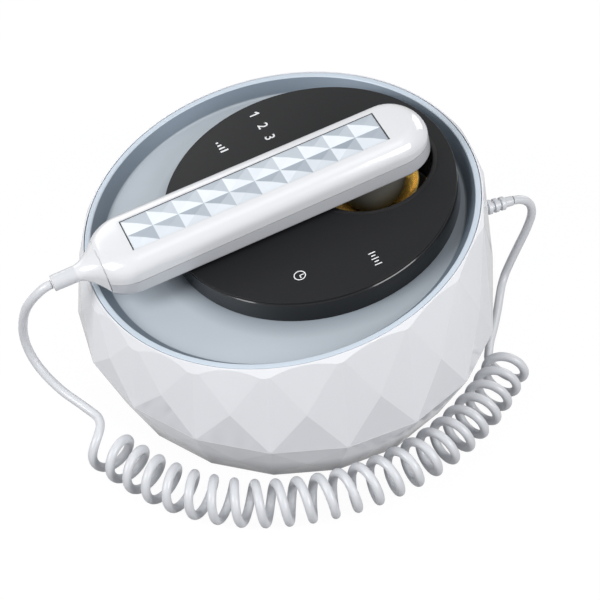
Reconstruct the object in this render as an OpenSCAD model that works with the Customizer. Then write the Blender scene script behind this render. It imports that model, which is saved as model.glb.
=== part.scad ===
// Facial toning device: a faceted, wedge-topped base with a round control
// platter, and a handpiece that lies across the platter with its dome
// electrode in a gold contact cup. A curly cord joins the two.
// Millimetres. Origin on the resting surface under the middle of the base,
// +Z up, -Y towards the user (the low side), +Y towards the rear.

/* [Base] */
// Angle by which the top face slopes down towards the user
top_slope = 10.8; // [8:0.2:12]
// Height of the middle of the rim
rim_height = 96.3; // [94:0.5:110]
// Distance that the middle of the rim lies in front of the base's middle
rim_forward = 3.4; // [2:0.2:5]
// Number of facets round the base
facet_count = 18; // [16:1:20]
// Angle of the first corner of the facets
facet_start = -86.34; // [-90:0.01:-80]
// Radius of the widest corners of the base
waist_r = 108; // [107.8:0.1:108.4]
// Height of the widest corners of the base
waist_height = 36; // [34:0.5:40]
// Radius of the bottom corners of the base
hem_r = 92.6; // [92:0.1:94]
// Thickness of the base's shell
shell_wall = 2.6; // [2.2:0.1:2.8]

/* [Tray] */
// Radius of the round opening in the top of the base
opening_r = 100.2; // [100:0.1:100.4]
// Gap between the tray's lip and the base's rim
lip_gap = 0.4; // [0.2:0.1:0.6]
// Width of the tray's flat lip
lip_w = 2.5; // [2.3:0.1:3]
// Depth of the tray's floor below the rim
tray_depth = 7; // [6.6:0.1:7.4]
// Radius of the tray's floor
tray_floor_r = 91.5; // [91.3:0.1:93]

/* [Platter] */
// Radius of the platter
platter_r = 73.7; // [73:0.1:74.2]
// Distance from the rim's middle to the platter's middle
platter_back = 16.6; // [16.2:0.1:16.9]
// Height of the platter's top above the rim
platter_top = 5.84; // [5.4:0.02:5.9]
// Thickness of the control panel
panel_t = 1.5; // [1.2:0.1:2]

/* [Docking cup] */
// Width of the platter's top between the pocket and the platter's edge
pocket_margin = 9.3; // [8.6:0.1:10]
// Radius of the pocket
pocket_r = 31.5; // [30.5:0.1:32]
// Depth of the pocket's floor below the rim
pocket_depth = 25; // [24:0.5:28]
// Radius of the gold cup's rim
cup_r = 23; // [22:0.1:24]
// Radius of the gold cup's curved bowl
bowl_r = 26; // [25:0.5:30]

/* [Handpiece] */
// Half the width of the handpiece
grip_half_w = 19.4; // [19:0.1:20]
// Length from the rim's middle to the seam of the tail cap
tail_seam = 92.5; // [91.5:0.1:92.7]
// Length of the handpiece's head beyond the dome's middle
head_reach = 32.9; // [32.2:0.1:34]
// Height of the handpiece's underside above the rim
grip_bottom = 6.2; // [6.15:0.05:6.5]
// Height of the handpiece's top above the rim
grip_top = 27.2; // [26.6:0.1:28]
// Wall of the handpiece's shells
grip_wall = 1.8; // [1.5:0.1:2]
// Radius of the dome electrode
dome_r = 17.6; // [16.8:0.1:17.8]

/* [Jewel strip] */
// Cells along the strip
cells_long = 10; // [8:1:12]
// Cells across the strip
cells_wide = 2; // [1:1:3]
// Width of the strip
strip_w = 21.84; // [21:0.1:22.5]
// Height of each pyramid
cell_rise = 1.7; // [1.2:0.1:1.9]

/* [Cord] */
// Diameter of the cord
cord_d = 4.6; // [4.2:0.1:4.8]
// Outer diameter of the curly length
curl_d = 24; // [22:0.5:24]

/* [Hidden] */
$fn = 96;

// Base shell
facet_step = 360 / facet_count;
rim_outer_r = opening_r + 0.6;  // smooth edge of the rim
corner_top_r = 102.5;           // facets' corners where they would reach the rim
chamfer_slope = 0.6125;         // outward run of the lathe-turned edge per unit of drop
upper_bulge = 2.03;             // how far the middle of each upper facet group stands out
lower_bulge = 1.2;
upper_mid = 0.46;               // height share of the upper middle points
lower_mid = 0.53;
hem_z = 2;
ledge_drop = lip_w;             // the tray's flange lies on this ledge
ledge_r = 97.5;
shoulder_drop = 6.5;

// Fasteners
pilot_r = 1.3;
screw_gap = 0.05;
screw_head_r = 2.8;
screw_head_h = 1.7;
clear_r = 1.7;

// Base plate and what stands on it
plate_gap = 0.6;                // between the base plate and the facets' flat sides
plate_r = inset_corner(hem_r, shell_wall) * cos(facet_step / 2) - plate_gap;
plate_t = 3;
plate_top = hem_z + plate_t;
post_ring = plate_r - 9;
foot_ring = plate_r - 16;
foot_r = 8;
foot_seat = 1.2;
board_w = 104;
board_l = 72;
ballast_w = board_w - 22;
ballast_l = board_l - 16;
ballast_t = 5;
board_t = 1.6;
board_z = 14;
board_y = -6;
hole_inset = 5;

// Rear fittings
boot_z = 58.5;
boot_seat_y = waist_r - 4.4;    // face of the counterbore that takes the boot's collar
boot_end_y = boot_seat_y + 24.6;
boot_neck_r = 3.55;
boot_collar_r = 4.8;
inlet_x = -25;
inlet_z = 50;
inlet_face_y = waist_r - 3;
inlet_bore_r = 2.9;
inlet_depth = 10;
inlet_r = 6.5;
inlet_l = 19;                    // length of the round body behind the face
inlet_block = 11;               // the square block at its back end

// Tray and platter
tray_t = 2.2;
lip_outer_r = opening_r - lip_gap;
lip_inner_r = lip_outer_r - lip_w;
panel_low = platter_top - panel_t;
deck_t = 2.2;
deck_low = panel_low - deck_t;
touch_t = 1.2;
pocket_back = platter_back + platter_r - pocket_margin - pocket_r;
dome_back = pocket_back - 0.5;
dome_z = -2.4;
housing_wall = 2.4;
housing_foot_r = platter_r + 0.36;
well_wall = 2;
well_outer_r = pocket_r + well_wall;
well_flange_r = well_outer_r + 0.8;
well_gap = 0.3;
well_floor_t = 2.4;
bowl_gap = 0.8;                 // under the dome
cup_low = dome_z - dome_r - bowl_gap;
cup_t = 1.2;
cup_foot_r = 6.4;
seat_r = 9;

// Handpiece
tail_half_w = grip_half_w + 1;
tail_centre = -78;              // centre of the tail's round end
tail_fall = 1.2;                // fall of the top over the round end
tail_rise = 0.5;                // rise of the underside over it
head_centre = dome_back + head_reach - grip_half_w;
head_fall = 2.2;
top_pitch = 0.42;               // slope of the top towards the tail
shoulder_r = 8.5;
keel_r = 2.2;
part_line = [-84, 14.2];        // a point of the parting line, and its height
part_rise = 1.2 / 144;          // rise of the parting line per unit of length
strip_start = tail_centre + 1.5;
strip_end = head_centre - 2.8;
strip_depth = 2.4;
tail_axis_z = 16;
cap_end = -tail_seam - 12.7;
boot_tip = -117.5;
boot_r = 3.25;                  // inside the cap's neck
boot_sleeve_r = 4.1;
dome_wall = 1.6;
dome_top = grip_bottom + 1.8;
dome_neck_r = dome_r - 1.6;     // the dome's neck inside the collar
collar_low = dome_top - 3.4;
grip_board_z = 12.4;
peg_r = 1.1;
shell_screw_y = [-70, dome_back - dome_r - 7.4];

// Cord routes, from end to end
handpiece_route = [
    [0, -122.3, 89.9], [-0.1, -124.4, 89.2], [-0.4, -126.5, 87.9], [-1, -128.6, 85.8],
    [-1.9, -130.7, 83], [-3.1, -132.7, 79.5], [-4.6, -134.6, 75], [-6.4, -136.1, 69],
    [-8, -137, 62], [-9.2, -137.4, 54.5], [-9, -137, 47], [-7, -135.7, 39.8], [-3, -133.2, 33.4],
    [3, -129.6, 28.4], [10.4, -125.2, 25], [19.5, -119.8, 23.4], [28.5, -115.4, 23.2],
    [35, -112.8, 23.4], [41, -111.6, 22.4],
];
curl_route = [
    [43, -114, 12], [48, -112, 12], [79, -93, 12], [100, -68, 12], [110, -42, 12], [114, -10, 12],
    [110, 22, 12], [103, 44, 12], [87, 73, 12], [67, 96.5, 12],
];
base_route = [
    [0, 128.6, 58.5], [0, 132.8, 57.7], [0.1, 136.4, 55.7], [0.2, 139.1, 52.5], [0.4, 140.5, 48.6],
    [0.5, 140.6, 44], [0.5, 139.6, 38.8], [0.6, 137.6, 32.5], [0.8, 133.6, 22.4], [1.6, 129.4, 12.8],
    [3, 126.4, 7], [6.4, 123.2, 3.6], [12, 119.4, 2.4], [21, 113.6, 2.4], [32, 106, 2.4],
    [42, 98.6, 2.4], [50, 93.8, 2.4], [57.2, 91, 2.4], [64.5, 91.5, 2.4],
];

// ---------------------------------------------------------------- helpers

function lerp(a, b, t) = a + (b - a) * t;
function unit(v) = v / norm(v);
function polar(r, a) = [r * cos(a), r * sin(a)];

// A point of the rim's own frame, which slopes with the top, in the part's frame
function from_rim(p) = [
    p[0],
    -rim_forward + p[1] * cos(top_slope) - p[2] * sin(top_slope),
    rim_height + p[1] * sin(top_slope) + p[2] * cos(top_slope)
];

module on_rim() {
    translate([0, -rim_forward, rim_height]) rotate([top_slope, 0, 0]) children();
}

// Solid between a stack of rings, each with the same number of points
module loft(rings) {
    n = len(rings[0]);
    m = len(rings);
    sides = [
        for (j = [0:m - 2], i = [0:n - 1])
            let (a = j * n + i, b = j * n + (i + 1) % n)
                each [[a, a + n, b + n], [a, b + n, b]]
    ];
    ends = [[for (i = [0:n - 1]) i], [for (i = [n - 1:-1:0]) (m - 1) * n + i]];
    polyhedron([for (r = rings) each r], concat(sides, ends), convexity = 6);
}

module at_polar(r, start, count) {
    for (i = [0:count - 1]) rotate(start + i * 360 / count) translate([r, 0, 0]) children();
}

// Pan-head screw with its head's top at the origin and its shank along -Z
module screw(length) {
    cylinder(r = pilot_r - screw_gap, h = length, $fn = 24);
    translate([0, 0, -screw_head_h]) difference() {
        cylinder(r = screw_head_r, h = screw_head_h, $fn = 32);
        translate([0, 0, -0.1]) cylinder(r = 1.1, h = 1.1, $fn = 6);
    }
}

// Smooth curve through a route's points, with some points added in each span
function spline(p, i, t) =
    let (n = len(p) - 1,
         a = p[max(i - 1, 0)], b = p[i], c = p[min(i + 1, n)], d = p[min(i + 2, n)])
    0.5 * (2 * b + (c - a) * t + (2 * a - 5 * b + 4 * c - d) * t * t
        + (3 * b - a - 3 * c + d) * t * t * t);
function smooth_route(p, per) = concat(
    [for (i = [0:len(p) - 2], s = [0:per - 1]) spline(p, i, s / per)], [p[len(p) - 1]]);
function headings(p) = [
    for (i = [0:len(p) - 1]) unit(p[min(i + 1, len(p) - 1)] - p[max(i - 1, 0)])
];
function carried(headings, i, n) =
    let (m = unit(n - (n * headings[i]) * headings[i]))
    i == len(headings) - 1 ? [m] : concat([m], carried(headings, i + 1, m));
function tube_rings(p, r, sides, up) =
    let (h = headings(p), u = carried(h, 0, up))
    [for (i = [0:len(p) - 1]) let (v = cross(h[i], u[i]))
        [for (s = [0:sides - 1]) let (a = s * 360 / sides) p[i] + r * (cos(a) * u[i] - sin(a) * v)]];

// ------------------------------------------------------------------- base

function corner(r, k) = polar(r, facet_start + k * facet_step);
function middle(r, k) = polar(r, facet_start + (k + 0.5) * facet_step);
function inset_corner(r, w) = r - w / cos(facet_step / 2);

// The faceted body: corners at the top, waist and hem, and a point in the
// middle of each four-sided group, so that each group is four triangles.
// top_drop is measured from the rim; w insets the whole body.
module faceted_body(w, top_r, top_drop, low_z, low_r) {
    n = facet_count;
    top = [for (k = [0:n - 1]) let (c = corner(top_r, k)) from_rim([c[0], c[1], -top_drop])];
    waist = [for (k = [0:n - 1]) let (c = corner(inset_corner(waist_r, w), k))
        [c[0], c[1], waist_height]];
    hem = [for (k = [0:n - 1]) let (c = corner(low_r, k)) [c[0], c[1], low_z]];
    upper = [for (k = [0:n - 1])
        let (j = (k + 1) % n, u = (top[k] + top[j]) / 2, l = (waist[k] + waist[j]) / 2,
             p = lerp(l, u, upper_mid), out = middle(upper_bulge, k))
        p + [out[0], out[1], 0]];
    lower = [for (k = [0:n - 1])
        let (j = (k + 1) % n, u = (hem[k] + hem[j]) / 2, l = (waist[k] + waist[j]) / 2,
             p = lerp(l, u, lower_mid), out = middle(lower_bulge, k))
        p + [out[0], out[1], 0]];
    faces = [
        for (k = [0:n - 1]) let (j = (k + 1) % n) each [
            [k, 3 * n + k, j], [j, 3 * n + k, n + j], [n + j, 3 * n + k, n + k], [n + k, 3 * n + k, k],
            [n + k, 4 * n + k, n + j], [n + j, 4 * n + k, 2 * n + j],
            [2 * n + j, 4 * n + k, 2 * n + k], [2 * n + k, 4 * n + k, n + k]
        ]
    ];
    ends = [[for (k = [n - 1:-1:0]) k], [for (k = [0:n - 1]) 2 * n + k]];
    polyhedron(concat(top, waist, hem, upper, lower), concat(faces, ends), convexity = 4);
}

module shell_outside() {
    reach = 64;
    intersection() {
        faceted_body(0, corner_top_r, 0, hem_z, hem_r);
        on_rim() rotate_extrude($fn = 180) polygon([
            [0, -160], [rim_outer_r + reach * chamfer_slope, -160],
            [rim_outer_r + reach * chamfer_slope, -reach], [rim_outer_r, 0], [0, 0]
        ]);
    }
}

module shell_posts() {
    intersection() {
        at_polar(post_ring, 0, 4) {
            translate([0, 0, plate_top]) cylinder(r = 4.5, h = 27, $fn = 48);
            translate([0, -1.5, plate_top + 6]) cube([30, 3, 21]);
        }
        faceted_body(1, corner_top_r - 1, 1, hem_z, hem_r - 1);
    }
}

module faceted_shell() {
    color([0.9, 0.91, 0.92]) difference() {
        union() {
            difference() {
                shell_outside();
                on_rim() translate([0, 0, -ledge_drop]) cylinder(r = opening_r, h = 9, $fn = 180);
                on_rim() translate([0, 0, -9]) cylinder(r = ledge_r, h = 12, $fn = 180);
                faceted_body(shell_wall, corner_top_r - 2.1, shoulder_drop, 1, hem_r - 3.1);
            }
            shell_posts();
        }
        at_polar(post_ring, 0, 4) translate([0, 0, plate_top - 1]) cylinder(r = pilot_r, h = 15, $fn = 24);
        translate([0, boot_seat_y - 15, boot_z]) rotate([-90, 0, 0])
            cylinder(r = boot_neck_r + screw_gap, h = 30, $fn = 48);
        translate([0, boot_seat_y, boot_z]) rotate([-90, 0, 0])
            cylinder(r = boot_collar_r + 0.1, h = 20, $fn = 48);
        translate([inlet_x, inlet_face_y - 25, inlet_z]) rotate([-90, 0, 0])
            cylinder(r = inlet_r + screw_gap, h = 40, $fn = 48);
    }
}

module rubber_feet() {
    color([0.2, 0.2, 0.21]) at_polar(foot_ring, 45, 4) rotate_extrude($fn = 48) polygon([
        [0, 0], [foot_r - 0.8, 0], [foot_r, 0.8], [foot_r, hem_z + foot_seat], [0, hem_z + foot_seat]
    ]);
}

module base_plate() {
    head_seat = 2;
    color([0.86, 0.87, 0.88]) difference() {
        union() {
            translate([0, 0, hem_z]) cylinder(r = plate_r, h = plate_t, $fn = 180);
            board_holes() translate([0, 0, plate_top]) cylinder(r = 3.5, h = board_z - plate_top, $fn = 32);
        }
        board_holes() translate([0, 0, plate_top + 1]) cylinder(r = pilot_r, h = 20, $fn = 24);
        at_polar(foot_ring, 45, 4) translate([0, 0, hem_z - 1])
            cylinder(r = foot_r + screw_gap, h = foot_seat + 1, $fn = 48);
        at_polar(post_ring, 0, 4) {
            translate([0, 0, hem_z - 1]) cylinder(r = clear_r, h = 9, $fn = 24);
            translate([0, 0, hem_z - 1]) cylinder(r = 3.3, h = head_seat + 1, $fn = 32);
        }
        for (i = [-4:4]) translate([i * 7, 62, 0]) vent_slot(22 - abs(i) * 1.5);
    }
}

module vent_slot(length) {
    slot_r = 1.2;
    linear_extrude(9) {
        square([2 * slot_r, length - 2 * slot_r], center = true);
        for (s = [-1, 1]) translate([0, s * (length / 2 - slot_r)]) circle(r = slot_r, $fn = 24);
    }
}

module board_holes() {
    for (sx = [-1, 1], sy = [-1, 1])
        translate([sx * (board_w / 2 - hole_inset), board_y + sy * (board_l / 2 - hole_inset), 0]) children();
}

module base_screws() {
    color([0.7, 0.71, 0.72]) at_polar(post_ring, 0, 4) translate([0, 0, hem_z + 2]) screw(11);
}

module ballast_plate() {
    color([0.5, 0.51, 0.53]) translate([0, board_y, plate_top]) linear_extrude(ballast_t) difference() {
        square([ballast_w, ballast_l], center = true);
        for (sx = [-1, 1]) translate([sx * ballast_w / 2, 0]) circle(r = 6, $fn = 48);
    }
}

module main_board() {
    color([0.1, 0.4, 0.25]) difference() {
        translate([-board_w / 2, board_y - board_l / 2, board_z]) cube([board_w, board_l, board_t]);
        board_holes() translate([0, 0, board_z - 1]) cylinder(r = clear_r, h = 5, $fn = 24);
    }
}

module board_screws() {
    color([0.75, 0.76, 0.77]) board_holes() translate([0, 0, board_z + board_t]) rotate([180, 0, 0]) screw(8);
}

module transformer() {
    z = board_z + board_t;
    color([0.2, 0.2, 0.22]) translate([28 - board_w / 2, board_y + 12, z]) {
        translate([-13, -11, 0]) cube([26, 22, 6]);
        translate([-9, -8, 6]) cube([18, 16, 12]);
        translate([-13, -11, 18]) cube([26, 22, 5]);
    }
}

module capacitors() {
    z = board_z + board_t;
    color([0.15, 0.2, 0.35]) for (i = [0:2])
        translate([board_w / 2 - 44 + i * 14, board_y + 16, z]) rotate_extrude($fn = 48)
            polygon([[0, 0], [5, 0], [5, 1.6], [4.6, 2], [4.6, 2.6], [5, 3], [5, 15.4], [4.4, 16], [0, 16]]);
}

module heat_sink() {
    z = board_z + board_t;
    color([0.75, 0.76, 0.78]) translate([board_w / 2 - 40, board_y - 20, z]) {
        cube([34, 3, 18]);
        for (i = [0:7]) translate([i * 4.57, 3, 0]) cube([2, 7, 18]);
    }
}

module dc_inlet() {
    color([0.08, 0.08, 0.09]) difference() {
        union() {
            translate([inlet_x, inlet_face_y - inlet_l, inlet_z]) rotate([-90, 0, 0])
                cylinder(r = inlet_r, h = inlet_l, $fn = 64);
            translate([inlet_x, inlet_face_y - inlet_l, inlet_z])
                cube([inlet_block, inlet_block, inlet_block], center = true);
        }
        translate([inlet_x, inlet_face_y - inlet_depth, inlet_z]) rotate([-90, 0, 0])
            cylinder(r = inlet_bore_r, h = inlet_depth + 5, $fn = 48);
    }
}

// Moulded strain relief of the cord at the rear, ribbed and tapering
module base_boot() {
    back = boot_seat_y - 11.6;
    body = [[0, back], [5.2, back], [5.2, back + 3], [boot_neck_r, back + 3], [boot_neck_r, boot_seat_y],
            [boot_collar_r, boot_seat_y], [boot_collar_r, boot_seat_y + 4]];
    ribs = [for (i = [0:3]) let (y = boot_seat_y + 5 + i * 3.6, r = 3.5 - i * 0.2)
        each [[r - 0.75, y], [r - 0.75, y + 0.9], [r, y + 1.3], [r, y + 2.7]]];
    tip = [[2.75, boot_end_y - 4.2], [2.6, boot_end_y], [0, boot_end_y]];
    color([0.88, 0.89, 0.9]) translate([0, 0, boot_z]) rotate([-90, 0, 0])
        rotate_extrude($fn = 64) polygon(concat(body, ribs, tip));
}

module base_lead() {
    color([0.85, 0.86, 0.88]) loft(tube_rings(smooth_route(base_route, 2), cord_d / 2, 10, [0, 0, 1]));
}

// Outer shape of the curly length of the cord
module curly_cord() {
    color([0.8, 0.82, 0.84]) loft(tube_rings(smooth_route(curl_route, 3), curl_d / 2, 16, [0, 0, 1]));
}

module handpiece_lead() {
    color([0.85, 0.86, 0.88]) loft(tube_rings(smooth_route(handpiece_route, 2), cord_d / 2, 10, [1, 0, 0]));
}

// ------------------------------------------------------ tray and platter

module recess_tray() {
    wall = 2;
    color([0.66, 0.7, 0.74]) on_rim() difference() {
        rotate_extrude($fn = 180) polygon([
            [0, -tray_depth - tray_t], [tray_floor_r + 0.8, -tray_depth - tray_t],
            [tray_floor_r + 2.4, -tray_depth + 0.4], [lip_inner_r - 0.4, -ledge_drop],
            [lip_outer_r, -ledge_drop], [lip_outer_r, -0.4], [lip_outer_r - 0.4, 0],
            [lip_inner_r + 0.3, 0], [lip_inner_r, -0.3], [tray_floor_r, -tray_depth], [0, -tray_depth]
        ]);
        translate([0, pocket_back, -20]) cylinder(r = well_outer_r + well_gap, h = 30, $fn = 128);
        translate([0, -18, -20]) cylinder(r = 11, h = 30, $fn = 64);
        platter_holes() translate([0, 0, -20]) cylinder(r = clear_r, h = 30, $fn = 24);
    }
}

module platter_holes() {
    for (a = [200, 250, 290, 340])
        translate([0, platter_back, 0]) rotate(a) translate([platter_r - 9.7, 0, 0]) children();
}

module platter_housing() {
    color([0.06, 0.06, 0.07]) on_rim() difference() {
        union() {
            translate([0, platter_back, 0]) rotate_extrude($fn = 180) polygon([
                [0, deck_low], [platter_r - housing_wall, deck_low],
                [housing_foot_r - housing_wall, -tray_depth], [housing_foot_r, -tray_depth],
                [platter_r + 0.05, panel_low - 0.5], [platter_r - 0.45, panel_low], [0, panel_low]
            ]);
            platter_holes() translate([0, 0, -tray_depth]) cylinder(r = 4, h = tray_depth + 3, $fn = 48);
        }
        platter_holes() translate([0, 0, -tray_depth - 1]) cylinder(r = pilot_r, h = 9, $fn = 24);
        translate([0, pocket_back, -20]) cylinder(r = well_outer_r + well_gap, h = 40, $fn = 128);
    }
}

module platter_screws() {
    color([0.7, 0.71, 0.72]) on_rim() platter_holes() translate([0, 0, -tray_depth - tray_t]) screw(8);
}

module control_panel() {
    color([0.14, 0.14, 0.15]) on_rim() difference() {
        translate([0, platter_back, 0]) rotate_extrude($fn = 180) polygon([
            [0, panel_low], [platter_r - 0.35, panel_low], [platter_r, panel_low + 0.35],
            [platter_r, platter_top - 0.4], [platter_r - 0.4, platter_top], [0, platter_top]
        ]);
        translate([0, pocket_back, panel_low - 1]) cylinder(r = well_flange_r + 0.1, h = 9, $fn = 128);
    }
}

module touch_board() {
    board_r = platter_r - 5.7;
    color([0.1, 0.35, 0.22]) on_rim() difference() {
        translate([0, platter_back, deck_low - touch_t]) cylinder(r = board_r, h = touch_t, $fn = 128);
        translate([0, pocket_back, -9]) cylinder(r = well_outer_r + 2, h = 20, $fn = 128);
        platter_holes() translate([0, 0, -9]) cylinder(r = 4.2, h = 20, $fn = 32);
    }
}

module indicator_leds() {
    under = deck_low - touch_t;
    places = [[-58, 20], [-56, 12], [-53, 4], [56, 26], [58, 10]];
    color([0.9, 0.9, 0.85]) on_rim() for (p = places)
        translate([p[0] - 1.5, p[1] - 1, under - 1]) cube([3, 2, 1]);
}

module cup_well() {
    inner_top = platter_top + 0.05;
    roll = well_flange_r - pocket_r - 0.2;
    color([0.05, 0.05, 0.06]) on_rim() translate([0, pocket_back, 0]) difference() {
        rotate_extrude($fn = 128) polygon(concat(
            [[0, -pocket_depth - well_floor_t], [well_outer_r - 1.5, -pocket_depth - well_floor_t],
             [well_outer_r, -pocket_depth - well_floor_t + 1.5], [well_outer_r, panel_low],
             [well_flange_r, panel_low], [well_flange_r, inner_top]],
            [for (a = [90:15:180]) [pocket_r + roll + roll * cos(a), inner_top - roll + roll * sin(a)]],
            [[pocket_r - 0.6, -pocket_depth], [seat_r, -pocket_depth], [seat_r, cup_low - cup_t],
             [0, cup_low - cup_t]]
        ));
        translate([0, dome_back - pocket_back, -40]) cylinder(r = clear_r, h = 40, $fn = 24);
    }
}

// Gold contact bowl that the dome rests over
module contact_cup() {
    centre = cup_low + bowl_r;
    steps = 8;
    edge = asin(cup_r / bowl_r);
    inside = [for (i = [0:steps]) let (a = i * edge / steps) [bowl_r * sin(a), centre - bowl_r * cos(a)]];
    rim_z = inside[steps][1];
    outside = [for (i = [0:steps - 2]) let (a = (steps - i) * edge / steps, r = bowl_r + cup_t)
        [r * sin(a) - 0.2, centre - r * cos(a)]];
    color([0.83, 0.66, 0.3]) on_rim() translate([0, pocket_back, 0]) difference() {
        rotate_extrude($fn = 128) polygon(concat(
            inside,
            [[cup_r + 0.5, rim_z + 0.3], [cup_r + 1, rim_z]],
            outside,
            [[cup_foot_r, cup_low - cup_t], [0, cup_low - cup_t]]
        ));
        translate([0, dome_back - pocket_back, -40]) cylinder(r = clear_r, h = 60, $fn = 24);
    }
}

// Stud of the cup, with its nut under the pocket's floor
module cup_screw() {
    nut_h = 1.8;
    nut_z = -pocket_depth - well_floor_t - nut_h;
    stud_low = nut_z - 2;
    color([0.8, 0.65, 0.3]) on_rim() translate([0, dome_back, 0]) {
        translate([0, 0, stud_low]) cylinder(r = clear_r - 0.1, h = cup_low - 0.4 - stud_low, $fn = 24);
        translate([0, 0, nut_z]) cylinder(r = 3, h = nut_h, $fn = 6);
    }
}

// -------------------------------------------------------------- handpiece

function part_z(y) = part_line[1] + (y - part_line[0]) * part_rise;
function tail_share(y) = max(0, min(1, (tail_centre - y) / (tail_seam + tail_centre)));
function top_z(y) = grip_top - max(0, strip_end - y) * tan(top_pitch) - tail_fall * tail_share(y)
    - head_fall * pow(max(0, y - head_centre) / grip_half_w, 2);
function low_z(y) = grip_bottom + tail_rise * pow(tail_share(y), 2);
function half_w(y) = lerp(grip_half_w, tail_half_w, (head_centre - y) / (head_centre - tail_centre));

side_y = [-60, -20, 20];
arc_steps = 9;

// Right half of the outline, inset by d, between the tail's tip and the head's
function half_outline(d) = concat(
    [for (i = [1:arc_steps]) let (a = 90 - i * 90 / arc_steps)
        [(tail_half_w - d) * cos(a), tail_centre - (tail_half_w - d) * sin(a)]],
    [for (y = side_y) [half_w(y) - d, y]],
    [for (i = [0:arc_steps - 1]) let (a = i * 90 / arc_steps)
        [(grip_half_w - d) * cos(a), head_centre + (grip_half_w - d) * sin(a)]]
);
// Whole outline, with heights taken from a level: 0 keel, 1 parting line, 2 top
// The shoulder's drop is limited where the side below it is shallow.
function shoulder_share(y) = min(1, (top_z(y) - part_z(y) - 0.6) / shoulder_r);
function level_z(kind, h, y) = kind == 0 ? low_z(y) + h : kind == 1 ? part_z(y) + h
    : top_z(y) - h * shoulder_share(y);
function outline(kind, h, d) =
    let (right = half_outline(d), n = len(right),
        tail = tail_centre - tail_half_w + d, tip = head_centre + grip_half_w - d)
    concat(
        [[0, tail, level_z(kind, h, tail)]],
        [for (p = right) [p[0], p[1], level_z(kind, h, p[1])]],
        [[0, tip, level_z(kind, h, tip)]],
        [for (i = [n - 1:-1:0]) [-right[i][0], right[i][1], level_z(kind, h, right[i][1])]]
    );

// Solid between stacked outlines; the caps are strips between mirrored points
module outline_stack(rings) {
    n = len(rings[0]);
    m = len(rings);
    half = n / 2 - 1;
    sides = [
        for (j = [0:m - 2], i = [0:n - 1])
            let (a = j * n + i, b = j * n + (i + 1) % n)
                each [[a, a + n, b + n], [a, b + n, b]]
    ];
    function strip(base, flip) = [
        for (i = [0:half])
            let (a = base + i, b = base + i + 1, c = base + n - i, d = base + n - i - 1)
                each i == 0 ? [flip ? [a, b, d] : [a, d, b]]
                    : i == half ? [flip ? [a, b, c] : [a, c, b]]
                    : [flip ? [a, b, d] : [a, d, b], flip ? [a, d, c] : [a, c, d]]
    ];
    polyhedron([for (r = rings) each r],
        concat(sides, strip(0, true), strip((m - 1) * n, false)), convexity = 6);
}

// Rounded edge as [height, inset] pairs, from the flat face to the side
function edge_steps(r, steps) = [
    for (i = [0:steps]) let (a = i * 90 / steps) [r * (1 - cos(a)), r * (1 - sin(a))]
];

// Everything beyond the seam of the tail cap, less a wall
module beyond_seam(w) {
    translate([-50, w - tail_seam - 50, -20]) cube([100, 50, 80]);
}

module lower_solid(w, above) {
    low = edge_steps(keel_r - w, 4);
    difference() {
        outline_stack(concat([for (e = low) outline(0, w + e[0], w + e[1])], [outline(1, above, w)]));
        beyond_seam(w);
    }
}

module upper_solid(w, w_top, below) {
    top = edge_steps(shoulder_r - w, 7);
    last = len(top) - 1;
    difference() {
        outline_stack(concat(
            [outline(1, -below, w)],
            [for (i = [last:-1:0]) outline(2, w_top + top[i][0], w + top[i][1])]
        ));
        beyond_seam(w);
    }
}

// What lies along the top's slope
module on_top() {
    translate([0, strip_end, grip_top]) rotate([top_pitch, 0, 0]) translate([0, -strip_end, -grip_top])
        children();
}

module grip_board_places() {
    for (x = [-8, 8], y = [-50, 8]) translate([x, y, 0]) children();
}
module grip_screw_places() {
    for (y = shell_screw_y) translate([0, y, 0]) children();
}

module lower_shell() {
    color([0.92, 0.93, 0.94]) on_rim() difference() {
        union() {
            difference() {
                lower_solid(0, 0);
                lower_solid(grip_wall, 3);
            }
            grip_board_places() translate([0, 0, grip_bottom + 1]) {
                cylinder(r = 2.4, h = grip_board_z - grip_bottom - 1, $fn = 32);
                cylinder(r = peg_r, h = grip_board_z - grip_bottom + 1, $fn = 24);
            }
            intersection() {
                lower_solid(0.2, -0.05);
                union() {
                    grip_screw_places() cylinder(r = 3.6, h = 40, $fn = 32);
                    translate([0, dome_back, 0]) cylinder(r = dome_r + 0.8, h = dome_top + 2, $fn = 96);
                }
            }
        }
        grip_screw_places() {
            cylinder(r = clear_r, h = 40, $fn = 24);
            cylinder(r = 3.1, h = grip_bottom + 2.2, $fn = 32);
        }
        translate([0, dome_back, 0]) cylinder(r = dome_r + screw_gap, h = dome_top, $fn = 96);
        translate([0, dome_back, 0]) cylinder(r = clear_r, h = 40, $fn = 24);
        tail_bore(2.5);
    }
}

module tail_bore(r) {
    translate([0, -tail_seam - 30, tail_axis_z]) rotate([-90, 0, 0]) cylinder(r = r, h = 40, $fn = 32);
}

module upper_shell() {
    ceiling = strip_depth + 2;
    color([0.93, 0.94, 0.95]) on_rim() difference() {
        union() {
            difference() {
                upper_solid(0, 0, 0);
                upper_solid(grip_wall, ceiling, 3);
            }
            intersection() {
                upper_solid(0.2, 0.2, -0.05);
                grip_screw_places() cylinder(r = 3.2, h = 40, $fn = 32);
            }
        }
        on_top() translate([-strip_w / 2, strip_start, grip_top - strip_depth])
            cube([strip_w, strip_end - strip_start, 9]);
        grip_screw_places() cylinder(r = pilot_r, h = 21, $fn = 24);
        tail_bore(2.5);
    }
}

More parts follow.
